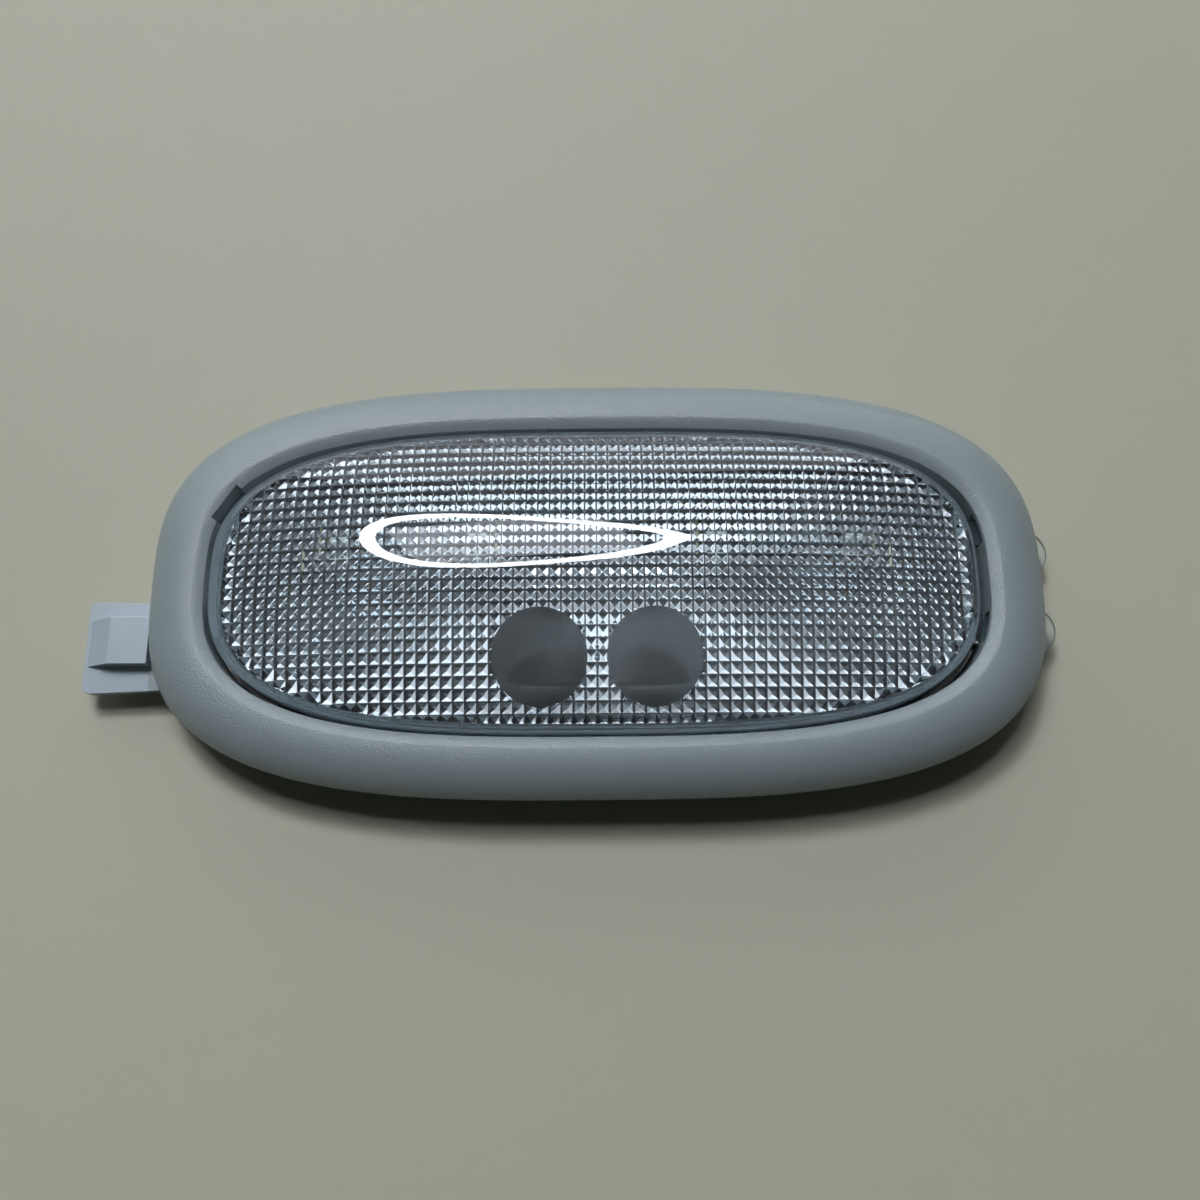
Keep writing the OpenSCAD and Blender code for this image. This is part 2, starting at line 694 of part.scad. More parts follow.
module ground_strip() {
    reach = rivet_at(3)[0] + strip_w / 2;
    branch_x = rivet_at(2)[0] + strip_w + 2.5;
    branch_w = 4;
    cross_y = feed_y + strip_w / 2 + branch_w / 2 + 4;
    cross_x = terminal_x[1] - terminal_w / 2;
    color([0.78, 0.68, 0.42])
        difference() {
            union() {
                translate([0, 0, floor_t]) linear_extrude(strip_t) union() {
                    strip_run(-reach, reach, ground_y - strip_w / 2, ground_y + strip_w / 2);
                    strip_run(branch_x, branch_x + branch_w, ground_y, cross_y + branch_w / 2);
                    strip_run(cross_x, branch_x + branch_w, cross_y - branch_w / 2, cross_y + branch_w / 2);
                }
                terminal(terminal_x[1], cross_y);
            }
            strip_holes([0, 3], [0, 1]);
        }
}

// Sprung blade with a hole for the cap's nub, standing on a riveted foot
module clip(k) {
    side = clip_side[k];
    base_z = floor_t + strip_t;
    blade_h = bulb_z + clip_rise - base_z;
    foot_side = sign(foot_y[k] - bulb_y);
    blade_x = side > 0 ? -clip_t : 0;
    bevel = 1.2;
    color([0.8, 0.74, 0.55])
        translate([clip_x[k], 0, base_z])
            difference() {
                union() {
                    translate([blade_x, bulb_y, 0])
                        rotate([90, 0, 90])
                            linear_extrude(clip_t)
                                polygon([
                                    [-clip_w / 2, 0], [clip_w / 2, 0], [clip_w / 2, blade_h - bevel],
                                    [clip_w / 2 - bevel, blade_h], [bevel - clip_w / 2, blade_h],
                                    [-clip_w / 2, blade_h - bevel]
                                ]);
                    linear_extrude(clip_t) union() {
                        strip_run(-side * clip_t, side * neck_w, bulb_y, foot_y[k] - foot_side * join);
                        translate([0, foot_y[k]])
                            strip_run(-side * clip_t, side * foot_l, -foot_w / 2, foot_w / 2);
                    }
                }
                translate([side * foot_l / 2, foot_y[k], -clip_t])
                    cylinder(r = rivet_r + run, h = 3 * clip_t, $fn = 48);
                translate([-2 * clip_t, bulb_y, bulb_z - base_z])
                    rotate([0, 90, 0]) cylinder(r = nub_r + run, h = 4 * clip_t, $fn = 48);
            }
}

module contact_rivets() {
    top_z = floor_t + strip_t + clip_t;
    low_h = 0.4;
    top_h = 0.35;
    color([0.72, 0.72, 0.7])
        for (k = [0:3])
            translate([rivet_at(k)[0], rivet_at(k)[1], 0]) {
                translate([0, 0, floor_t - low_h]) cylinder(r = rivet_r + rivet_lip, h = low_h, $fn = 48);
                translate([0, 0, floor_t - low_h / 2])
                    cylinder(r = rivet_r, h = top_z - floor_t + low_h / 2 + top_h / 2, $fn = 48);
                translate([0, 0, top_z]) cylinder(r = rivet_r + rivet_lip, h = top_h, $fn = 48);
            }
}

/* [Bulb shapes] */
nub_r = 1.6;
neck_r = cap_r - 0.6;
// Distances from a bulb's middle along its axis
cone_end = bulb_l / 2 - 1.9;
side_end = cone_end - 1.6;
cap_start = side_end - cap_l;
bore_end = side_end - 0.8;

module on_bulb_axis(x, turn) {
    translate([x, bulb_y, bulb_z]) rotate([0, 90 * turn, 0]) children();
}

module glass(x) {
    bend = cap_start - 2.2;
    ends = bore_end - 0.4;
    color([0.9, 0.94, 0.97, 0.4])
        on_bulb_axis(x, 1)
            rotate_extrude($fn = 64)
                polygon([
                    [neck_r, -ends], [neck_r, -cap_start + 0.2],
                    [glass_r - 0.7, -bend - 0.5], [glass_r, -bend + 0.9],
                    [glass_r, bend - 0.9], [glass_r - 0.7, bend + 0.5],
                    [neck_r, cap_start - 0.2], [neck_r, ends],
                    [neck_r - glass_t, ends], [neck_r - glass_t, cap_start - 0.4],
                    [glass_r - glass_t - 0.6, bend + 0.2], [glass_r - glass_t, bend - 1],
                    [glass_r - glass_t, -bend + 1], [glass_r - glass_t - 0.6, -bend - 0.2],
                    [neck_r - glass_t, -cap_start + 0.4], [neck_r - glass_t, -ends]
                ]);
}

module cap(x, turn) {
    color([0.75, 0.74, 0.7])
        on_bulb_axis(x, turn)
            rotate_extrude($fn = 64)
                polygon([
                    [neck_r + run, cap_start], [cap_r, cap_start],
                    [cap_r, side_end], [nub_r + 0.5, cone_end], [nub_r, cone_end],
                    [nub_r, bulb_l / 2 - 0.5], [nub_r - 0.5, bulb_l / 2], [0, bulb_l / 2],
                    [0, bore_end], [neck_r + run, bore_end]
                ]);
}

module filament(x) {
    coil_l = 12;
    color([0.35, 0.34, 0.33])
        on_bulb_axis(x, 1)
            union() {
                cylinder(r = 0.5, h = coil_l, center = true, $fn = 32);
                cylinder(r = 0.2, h = 2 * bore_end, center = true, $fn = 32);
            }
}

module housing_screws() {
    tip_z = seat_z + screw_l;
    taper = 1.2;
    slot_l = head_r;
    slot_w = 0.6;
    color([0.6, 0.6, 0.58])
        screw_places()
            difference() {
                rotate_extrude($fn = 48)
                    polygon([
                        [0, seat_z - head_h], [head_r - 0.6, seat_z - head_h],
                        [head_r, seat_z - head_h + 0.6], [head_r, seat_z],
                        [screw_r, seat_z], [screw_r, tip_z - taper], [0.3, tip_z], [0, tip_z]
                    ]);
                for (a = [0, 90])
                    rotate(a) translate([-slot_l / 2, -slot_w / 2, 0]) cube([slot_l, slot_w, seat_z - 0.8]);
            }
}

bezel();
lens();
housing();
reflector();
feed_strip();
ground_strip();
contact_rivets();
clip(0);  // clip_left_outer
clip(1);  // clip_left_inner
clip(2);  // clip_right_inner
clip(3);  // clip_right_outer
glass(-bulb_x);  // bulb_glass_left
cap(-bulb_x, -1);  // bulb_cap_left_outer
cap(-bulb_x, 1);  // bulb_cap_left_inner
filament(-bulb_x);  // bulb_filament_left
glass(bulb_x);  // bulb_glass_right
cap(bulb_x, -1);  // bulb_cap_right_inner
cap(bulb_x, 1);  // bulb_cap_right_outer
filament(bulb_x);  // bulb_filament_right
housing_screws();
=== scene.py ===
import json
import math

import bmesh
import bpy
from mathutils import Matrix, Vector


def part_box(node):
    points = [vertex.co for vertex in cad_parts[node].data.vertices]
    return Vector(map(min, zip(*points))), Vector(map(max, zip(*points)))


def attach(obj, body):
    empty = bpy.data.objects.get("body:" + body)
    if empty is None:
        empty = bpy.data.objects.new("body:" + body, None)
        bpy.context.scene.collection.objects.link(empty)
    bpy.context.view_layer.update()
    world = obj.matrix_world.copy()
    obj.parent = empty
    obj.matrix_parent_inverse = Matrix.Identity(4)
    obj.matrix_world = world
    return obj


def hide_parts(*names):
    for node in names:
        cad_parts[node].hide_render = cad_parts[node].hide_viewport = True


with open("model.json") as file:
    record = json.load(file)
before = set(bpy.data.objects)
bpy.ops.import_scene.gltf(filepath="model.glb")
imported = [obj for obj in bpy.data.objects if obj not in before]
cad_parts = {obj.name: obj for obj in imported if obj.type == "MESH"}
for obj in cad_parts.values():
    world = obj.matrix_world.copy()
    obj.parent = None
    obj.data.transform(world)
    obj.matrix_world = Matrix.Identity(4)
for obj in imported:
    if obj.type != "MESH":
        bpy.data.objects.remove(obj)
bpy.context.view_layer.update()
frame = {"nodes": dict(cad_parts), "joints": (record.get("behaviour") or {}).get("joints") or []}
mm = 0.001
print("frame loaded:", len(frame["nodes"]), "nodes")


# Colours are written as sRGB hex and turned to linear here
def colour(code):
    parts = [int(code[k:k + 2], 16) / 255 for k in (0, 2, 4)]
    return tuple(c / 12.92 if c <= 0.04045 else ((c + 0.055) / 1.055) ** 2.4 for c in parts) + (1.0,)


# Adds a node: values go to its sockets, links maps a socket to the socket that feeds it
def addNode(tree, kind, values=None, links=None, **settings):
    node = tree.nodes.new(kind)
    for key, value in settings.items():
        setattr(node, key, value)
    for key, value in (values or {}).items():
        node.inputs[key].default_value = value
    for key, source in (links or {}).items():
        tree.links.new(source, node.inputs[key])
    return node


# Starts a material with a Principled shader; the caller adds what feeds it
def startMaterial(name, values):
    material = bpy.data.materials.new(name)
    material.use_nodes = True
    tree = material.node_tree
    tree.nodes.clear()
    shader = addNode(tree, "ShaderNodeBsdfPrincipled", values)
    addNode(tree, "ShaderNodeOutputMaterial", links={"Surface": shader.outputs["BSDF"]})
    place = addNode(tree, "ShaderNodeTexCoord").outputs["Object"]
    return material, tree, shader, place


# Meshes are written in millimetres and stored in metres
def makeObject(name, points, faces):
    mesh = bpy.data.meshes.new(name)
    mesh.from_pydata([Vector(p) * mm for p in points], [], faces)
    work = bmesh.new()
    work.from_mesh(mesh)
    bmesh.ops.recalc_face_normals(work, faces=work.faces)
    work.to_mesh(mesh)
    work.free()
    piece = bpy.data.objects.new(name, mesh)
    bpy.context.scene.collection.objects.link(piece)
    return piece


def lerp(a, b, share):
    return a + (b - a) * share


# Rings of equal count joined into one skin; closed joins the last ring to the first, capped fills the ends
def ringSkin(rings, closed=False, capped=False):
    count, total = len(rings[0]), len(rings)
    points = [p for ring in rings for p in ring]
    faces = []
    for k in range(total if closed else total - 1):
        here, after = k * count, (k + 1) % total * count
        for i in range(count):
            j = (i + 1) % count
            faces.append((here + i, here + j, after + j, after + i))
    if capped:
        faces.append(tuple(reversed(range(count))))
        faces.append(tuple((total - 1) * count + i for i in range(count)))
    return points, faces


# Outline in the XY plane extruded from low to high, then carried by a matrix
def extruded(name, outline, low, high, carry=Matrix.Identity(4)):
    rings = [[carry @ Vector((x, y, z)) for x, y in outline] for z in (low, high)]
    return makeObject(name, *ringSkin(rings, capped=True))


# Stands an outline up, so that its second coordinate is the height and it is extruded from y towards -Y
def standing(y):
    return Matrix.Translation((0, y, 0)) @ Matrix.Rotation(math.pi / 2, 4, "X")


def circlePoints(radius, centre=(0, 0), count=64):
    turns = [2 * math.pi * k / count for k in range(count)]
    return [(centre[0] + radius * math.cos(t), centre[1] + radius * math.sin(t)) for t in turns]


def rectangle(x0, x1, y0, y1):
    return [(x0, y0), (x1, y0), (x1, y1), (x0, y1)]


# Cuts or joins the other meshes into piece, which keeps its name
def combine(piece, others, operation):
    for other in others:
        step = piece.modifiers.new("combine", "BOOLEAN")
        step.object = other
        step.operation = operation
        step.solver = "EXACT"
        settle(piece)
        bpy.data.objects.remove(other)


# Puts the result of a piece's modifiers into its mesh
def settle(piece):
    graph = bpy.context.evaluated_depsgraph_get()
    graph.update()
    mesh = bpy.data.meshes.new_from_object(piece.evaluated_get(graph))
    piece.modifiers.clear()
    old = piece.data
    piece.data = mesh
    mesh.name = piece.name
    bpy.data.meshes.remove(old)


# Smooth shading that keeps edges steeper than the angle crisp
def shadeByAngle(piece, degrees):
    weldDistance = 0.0005 * mm
    work = bmesh.new()
    work.from_mesh(piece.data)
    bmesh.ops.remove_doubles(work, verts=work.verts, dist=weldDistance)
    bmesh.ops.recalc_face_normals(work, faces=work.faces)
    limit = math.radians(degrees)
    for face in work.faces:
        face.smooth = True
    for edge in work.edges:
        edge.smooth = len(edge.link_faces) == 2 and edge.calc_face_angle(math.pi) < limit
    work.to_mesh(piece.data)
    work.free()


def setMaterial(piece, material):
    piece.data.materials.clear()
    piece.data.materials.append(material)


# The oval that every outline follows is a superellipse of this power
ovalPower = 3.05


def ovalAt(halfLength, halfWidth, turn):
    c, s = math.cos(turn), math.sin(turn)
    return (
        math.copysign(halfLength * abs(c) ** (2 / ovalPower), c),
        math.copysign(halfWidth * abs(s) ** (2 / ovalPower), s),
    )


# Half width of the oval at a distance x from the middle
def ovalHalf(x, halfLength, halfWidth):
    return halfWidth * max(0.0, 1 - (abs(x) / halfLength) ** ovalPower) ** (1 / ovalPower)


# Turns that space points evenly round the oval
def evenTurns(halfLength, halfWidth, count):
    steps = 4000
    quarter = [math.pi / 2 * k / steps for k in range(steps + 1)]
    spots = [ovalAt(halfLength, halfWidth, t) for t in quarter]
    run = [0.0]
    for a, b in zip(spots, spots[1:]):
        run.append(run[-1] + math.dist(a, b))
    first, k = [], 0
    for i in range(count // 4):
        goal = run[-1] * i / (count // 4)
        while run[k + 1] < goal:
            k += 1
        share = (goal - run[k]) / max(1e-12, run[k + 1] - run[k])
        first.append(lerp(quarter[k], quarter[k + 1], share))
    turns = first + [math.pi / 2] + [math.pi - t for t in reversed(first[1:])]
    return turns + [t + math.pi for t in turns]


# Sizes read from the frame, in millimetres
def frameBox(node):
    low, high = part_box(node)
    return low / mm, high / mm


bezelLow, bezelHigh = frameBox("bezel")
lensLow, lensHigh = frameBox("lens")
dishLow, dishHigh = frameBox("reflector")
screwHigh = frameBox("housing_screws")[1]

# Bezel: rim, skirt, tongue, hinge cheeks and screw bosses in one moulding
bezelForm = {
    "rimEnd": 13.0,  # width of the rim at its ends
    "rimSide": 12.4,  # width of the rim along its sides
    "seatHeight": 9.8,
    "edgeRise": 0.9,  # upright edge of the rim
    "crestShare": 0.79,  # where the crest lies across the rim's width
    "crestPower": 0.69,  # fullness of the rim's curve
    "crestSteps": 26,
    "lipDrop": 1.1,  # fall from the crest to the edge of the opening
    "lipPower": 1.5,
    "lipSteps": 15,
    "wall": 2.2,
    "skirt": 1.8,
    "skirtRise": 0.2,  # the bosses reach this much lower than the skirt
    "belt": 11.0,  # height of the extra ring of points round the skirt
    "screwHead": 2.7,  # from the outer side of a screw's head to its middle
    "bossRadius": 3.6,
    "bossBelow": 4.0,  # from the crest down to the top of a boss
    "boreRadius": 1.5,
    "boreDepth": 7.0,
    "crispAngle": 27,  # edges steeper than this stay crisp
    "around": 448,
}
rimHalf = (bezelHigh.x, bezelHigh.y)
openHalf = (rimHalf[0] - bezelForm["rimEnd"], rimHalf[1] - bezelForm["rimSide"])
crestHeight = bezelHigh.z
bossFoot = bezelLow.z
skirtFoot = bossFoot + bezelForm["skirtRise"]


def rimHeight(share):
    form = bezelForm
    edge = form["seatHeight"] + form["edgeRise"]
    rise = math.sin(math.pi / 2 * (share / form["crestShare"]) ** form["crestPower"])
    return edge + (crestHeight - edge) * rise


# Section of the rim as (share of its width from the edge, height), closed
def rimSection():
    form = bezelForm
    crest, wall, belt = form["crestShare"], form["wall"], form["belt"]
    inner = 1 - form["skirt"] / form["rimEnd"]
    foot = wall / form["rimEnd"] * 0.75  # the wall is thinner at the rim's edge
    edge = form["seatHeight"] + form["edgeRise"]
    lip = crestHeight - form["lipDrop"]
    steps = [crest * (k / form["crestSteps"]) ** 1.9 for k in range(1, form["crestSteps"] + 1)]
    out = [(0.0, form["seatHeight"]), (0.0, edge)]
    out += [(s, rimHeight(s)) for s in steps]
    for k in range(1, form["lipSteps"]):  # slope down to the rounded edge of the opening
        t = k / form["lipSteps"]
        out.append((lerp(crest, 1, t), crestHeight - form["lipDrop"] * t ** form["lipPower"]))
    out += [(0.995, lip), (0.998, lip - 0.08), (1.0, lip - 0.3)]
    out += [(1.0, belt), (1.0, skirtFoot), (inner, skirtFoot)]
    out += [(inner, belt), (inner, crestHeight - wall - 0.3)]
    out += [(s, rimHeight(s) - wall) for s in (0.74, 0.62, 0.5, 0.4, 0.3, 0.22)]  # underside of the rim
    out += [(foot, edge), (foot, form["seatHeight"])]
    return out


tongueForm = {
    "width": 20.8,
    "middle": -12.4,
    "thick": 1.6,
    "height": 4.4,
    "waist": 1.0,  # the plate narrows by this on each side towards the rim
    "wedgeWidth": 10.6,
    "wedgeMiddle": -11.5,
    "wedgeHeight": 3.0,
    "wedgeStart": 0.8,  # from the tip to where the ramp leaves the plate
    "wedgeGap": 0.3,  # from the wedge to the rim
    "wedgeSink": 0.3,  # the wedge reaches this far into the plate
    "ramp": 5.2,
    "corner": 2.0,
    "soften": 0.18,  # rounding of the moulded edges
}
hingeForm = {
    "armWidth": 6.0,
    "armAway": 11.0,  # from the lamp's long axis to the middle of an arm
    "armThick": 1.6,
    "armPlay": 0.3,  # gap on each side of an arm
    "pin": 1.2,
    "pinLength": 1.6,
    "pinPlay": 0.05,
    "cheek": 1.8,
    "cheekRound": 1.4,  # material round the bore
    "cheekBelow": 0.4,  # from the rim's inner face down to a cheek's top
}
notchForm = {"length": 9.0, "depth": 0.9, "turn": 159.5, "below": 5.0}
hingePlace = [v / mm for v in frame["joints"][0]["pos_m"]]
screwAt = (screwHigh.x - bezelForm["screwHead"], screwHigh.y - bezelForm["screwHead"])


def makeTongue():
    form = tongueForm
    tip, root = bezelLow.x, -openHalf[0] - bezelForm["skirt"] / 2
    low, high = form["middle"] - form["width"] / 2, form["middle"] + form["width"] / 2
    corner, cornerX = form["corner"], tip + form["corner"]
    outline = [(root, high - form["waist"])]
    for cy, start in ((high - corner, 90), (low + corner, 180)):
        for k in range(9):
            a = math.radians(start + 90 * k / 8)
            outline.append((cornerX + corner * math.cos(a), cy + corner * math.sin(a)))
    outline.append((root, low + form["waist"]))
    face = form["height"] + form["thick"]
    plate = extruded("tonguePlate", outline, form["height"], face)
    base, top = face - form["wedgeSink"], face + form["wedgeHeight"]
    start, stop = tip + form["wedgeStart"], -rimHalf[0] - form["wedgeGap"]
    slope = (top - base) / form["wedgeHeight"]
    foot = start + form["ramp"] * (1 - slope)  # the ramp goes on down into the plate
    wedge = [(foot, base), (start + form["ramp"], top), (stop, top), (stop, base)]
    carry = standing(form["wedgeMiddle"] + form["wedgeWidth"] / 2)
    block = extruded("tongueWedge", wedge, 0, form["wedgeWidth"], carry)
    for piece in (plate, block):
        edge = piece.modifiers.new("soften", "BEVEL")
        edge.width = form["soften"] * mm
        edge.segments = 3
        edge.limit_method = "ANGLE"
        settle(piece)
    return [plate, block]


def makeCheeks():
    form, pieces = hingeForm, []
    reach = form["pin"] + form["cheekRound"]
    top = crestHeight - bezelForm["wall"] - form["cheekBelow"]
    bore = circlePoints(form["pin"] + form["pinPlay"], (hingePlace[0], hingePlace[2]), 48)
    for side in (-1, 1):
        for edge in (-1, 1):
            y = side * form["armAway"] + edge * (form["armWidth"] / 2 + form["armPlay"] + form["cheek"] / 2)
            root = ovalHalf(abs(y), openHalf[1], openHalf[0]) + bezelForm["skirt"] / 2
            outline = rectangle(root, hingePlace[0] + reach, hingePlace[2] - reach, top)
            carry = standing(y + form["cheek"] / 2)
            cheek = extruded("cheek", outline, 0, form["cheek"], carry)
            combine(cheek, [extruded("bore", bore, -1, form["cheek"] + 1, carry)], "DIFFERENCE")
            pieces.append(cheek)
    return pieces


# Openings through the skirt: how far each reaches in and out of the opening's edge, and its heights
wayForm = {
    "arm": {"inside": 5.0, "outside": 2.4, "under": 0.6, "over": 3.7},
    "catch": {"inside": 0.2, "outside": 2.8, "half": 4.8, "low": 9.6, "high": 11.6},
    "ear": {"inside": 3.0, "outside": 6.8, "half": 6.0, "low": 2.4, "high": 5.9, "at": (7.9, -10)},
    "socket": {"inside": 2.0, "outside": 2.8, "half": 10.5, "low": 2.4, "high": 8.5},
}


def makeWays():
    endX, sideY, cutters = openHalf[0], openHalf[1], []
    arm, way = hingeForm, wayForm["arm"]
    low, high = hingePlace[2] - arm["armThick"] / 2 - way["under"], hingePlace[2] + way["over"]
    half = arm["armWidth"] / 2 + arm["armPlay"]
    for side in (-1, 1):
        y = side * arm["armAway"]
        outline = rectangle(endX - way["inside"], endX + way["outside"], y - half, y + half)
        cutters.append(extruded("armWindow", outline, low, high))
    way = wayForm["catch"]
    outline = rectangle(-endX - way["outside"], -endX + way["inside"], -way["half"], way["half"])
    cutters.append(extruded("catchWindow", outline, way["low"], way["high"]))
    way = wayForm["ear"]
    for y in way["at"]:
        outline = rectangle(endX - way["inside"], endX + way["outside"], y - way["half"], y + way["half"])
        cutters.append(extruded("earWay", outline, way["low"], way["high"]))
    way = wayForm["socket"]
    outline = rectangle(-way["half"], way["half"], sideY - way["inside"], sideY + way["outside"])
    cutters.append(extruded("socketWay", outline, way["low"], way["high"]))
    return cutters


# Pry notch in the rim's inner edge, turned to follow the oval there
def makeNotch():
    form, lookAround = notchForm, 4
    place, ahead, behind = [
        ovalAt(*openHalf, math.radians(form["turn"] + step)) for step in (0, lookAround, -lookAround)
    ]
    heading = math.atan2(ahead[1] - behind[1], ahead[0] - behind[0])
    carry = Matrix.Translation((*place, 0)) @ Matrix.Rotation(heading, 4, "Z")
    outline = rectangle(-form["length"] / 2, form["length"] / 2, -form["depth"], form["depth"])
    return extruded("notch", outline, crestHeight - form["below"], crestHeight + 3, carry)


def makeBezel():
    form = bezelForm
    turns = evenTurns(*rimHalf, form["around"])
    rings = []
    for share, height in rimSection():
        a, b = lerp(rimHalf[0], openHalf[0], share), lerp(rimHalf[1], openHalf[1], share)
        rings.append([(*ovalAt(a, b, t), height) for t in turns])
    bezel = makeObject("bezelMoulding", *ringSkin(rings, closed=True))
    corners = [(sx * screwAt[0], sy * screwAt[1]) for sx in (-1, 1) for sy in (-1, 1)]
    bossTop = crestHeight - form["bossBelow"]
    bosses = [extruded("boss", circlePoints(form["bossRadius"], c), bossFoot, bossTop) for c in corners]
    combine(bezel, makeTongue() + makeCheeks() + bosses, "UNION")
    boreTop = bossFoot + form["boreDepth"]
    holes = [circlePoints(form["boreRadius"], c) for c in corners]
    bores = [extruded("bossBore", hole, bossFoot - 1, boreTop) for hole in holes]
    combine(bezel, bores + makeWays() + [makeNotch()], "DIFFERENCE")
    shadeByAngle(bezel, form["crispAngle"])
    flat = bezel.modifiers.new("flatFaces", "WEIGHTED_NORMAL")
    flat.keep_sharp = True
    settle(bezel)
    return bezel


# Lens: crowned outer face, square prisms inside, shoulder, skirt, arms and catch
lensForm = {
    "gapEnd": 2.2,
    "gapSide": 0.7,
    "shoulder": 2.2,
    "leftSpread": 0.62,  # the shoulder's extra width at the pried end, as a share
    "shoulderLean": 22,  # slope in degrees where the shoulder leaves the outer face
    "fieldHeight": 18.0,
    "wall": 2.2,
    "pitch": 2.5,  # square prisms
    "depth": 1.13,
    "land": 0.12,  # flat strip along each edge of a prism
    "skirt": 1.6,
    "skirtChamfer": 0.3,
    "belt": 11.0,  # height of the extra ring of points round the skirt
    "cornerDrop": 1.2,  # from the wall's inner face down to the skirt's inner corner
    "windowRadius": 10.0,
    "windowAway": 12.0,  # from the middle of the lamp to a window's middle, along it
    "windowIn": 13.1,  # from the field's near edge to a window's middle
    "windowSink": 0.04,  # a window's face lies this much above the foot of the prisms
    "windowFloor": 11.5,  # the window cutter starts here, below all the prisms
    "catchHalf": 4.5,
    "catchLow": (9.9, 10.4),  # its lower side, at the skirt and at the tip
    "catchHigh": 11.3,
    "outlineStep": 0.9,  # largest step along the field's outline
    "rings": 44,  # rings of the outer face
    "crispAngle": 14,
}
fieldHalf = (
    openHalf[0] - lensForm["gapEnd"] - lensForm["shoulder"],
    openHalf[1] - lensForm["gapSide"] - lensForm["shoulder"],
)
crown = lensHigh.z - lensForm["fieldHeight"]
lensFoot = lensLow.z


def lensHeight(x, y):
    half = ovalHalf(x, *fieldHalf)
    if half < 0.01:
        return lensForm["fieldHeight"]
    across = max(0.0, 1 - (y / half) ** 2)
    along = max(0.0, 1 - (abs(x) / fieldHalf[0]) ** 3)
    return lensForm["fieldHeight"] + crown * across * along


# Above 0 inside the prism field, below 0 outside
def inField(p):
    return 1 - 1e-6 - (abs(p[0]) / fieldHalf[0]) ** ovalPower - (abs(p[1]) / fieldHalf[1]) ** ovalPower


# Outline of the prism field: where the prism grid meets it, with even steps between
def fieldOutline():
    pitch = lensForm["pitch"]
    a, b = fieldHalf

    def turnOf(p):
        return math.atan2((p[1] / b) ** (ovalPower / 2), (p[0] / a) ** (ovalPower / 2))

    spots = {}
    for k in range(int(a / pitch - 1e-9) + 1):
        spots[(round(k * pitch, 6), round(ovalHalf(k * pitch, a, b), 6))] = True
    for k in range(int(b / pitch) + 1):
        spots[(round(ovalHalf(k * pitch, b, a), 6), round(k * pitch, 6))] = True
    grid = sorted(spots, key=turnOf)
    quarter = []
    for p, q in zip(grid, grid[1:]):
        quarter.append(p)
        parts = max(1, round(math.dist(p, q) / lensForm["outlineStep"]))
        for k in range(1, parts):
            spot = ovalAt(a, b, lerp(turnOf(p), turnOf(q), k / parts))
            quarter.append((round(spot[0], 6), round(spot[1], 6)))
    quarter.append(grid[-1])
    loop = list(quarter)
    loop += [(-x, y) for x, y in reversed(quarter[:-1])]
    loop += [(-x, -y) for x, y in quarter[1:]]
    loop += [(x, -y) for x, y in reversed(quarter[1:-1])]
    return loop


# Direction straight out of the field at a point of its outline
def outward(p):
    gx = math.copysign((abs(p[0]) / fieldHalf[0]) ** (ovalPower - 1) / fieldHalf[0], p[0])
    gy = math.copysign((abs(p[1]) / fieldHalf[1]) ** (ovalPower - 1) / fieldHalf[1], p[1])
    size = math.hypot(gx, gy)
    return gx / size, gy / size


# Where the side of a cell from p to q meets the field's outline
def crossing(p, q):
    a, b = fieldHalf
    if p[0] == q[0]:
        return p[0], round(math.copysign(ovalHalf(p[0], a, b), p[1] + q[1]), 6)
    return round(math.copysign(ovalHalf(p[1], b, a), p[0] + q[0]), 6), p[1]


# Shoulder and skirt as (distance out from the field, height), from the outer face to the inner
def skirtSection():
    form = lensForm
    out, top, belt, chamfer = form["shoulder"], form["fieldHeight"], form["belt"], form["skirtChamfer"]
    lean = math.radians(form["shoulderLean"])
    bend = out / (1 - math.sin(lean))
    section = []
    for k in range(1, 13):
        a = lerp(lean, math.pi / 2, k / 12)
        height = top - bend * (math.cos(lean) - math.cos(a))
        section.append((bend * (math.sin(a) - math.sin(lean)), height))
    inner = out - form["skirt"]
    section += [(out, belt), (out, lensFoot + chamfer), (out - chamfer, lensFoot), (inner, lensFoot)]
    section += [(inner, belt), (inner, top - form["wall"] - form["cornerDrop"])]
    return section


# Outline of a prism cell that the field's edge cuts: the corners inside and the stretch of the edge
def cutCell(corners, inside, loop, index):
    ordered = []
    for k in range(4):
        p, q = corners[k], corners[(k + 1) % 4]
        if inside[k]:
            ordered.append(p)
        if inside[k] != inside[(k + 1) % 4]:
            spot = crossing(p, q)
            ordered.append(spot)
            if inside[k]:
                leave = spot
            else:
                enter = spot
    at, stop, arc = index[leave], index[enter], []
    while at != stop:
        at = (at + 1) % len(loop)
        if at != stop:
            arc.append(loop[at])
    after = ordered.index(leave) + 1
    outline = []
    for p in ordered[:after] + arc + ordered[after:]:
        if not outline or p != outline[-1]:
            outline.append(p)
    if outline[0] == outline[-1]:
        outline.pop()
    return outline


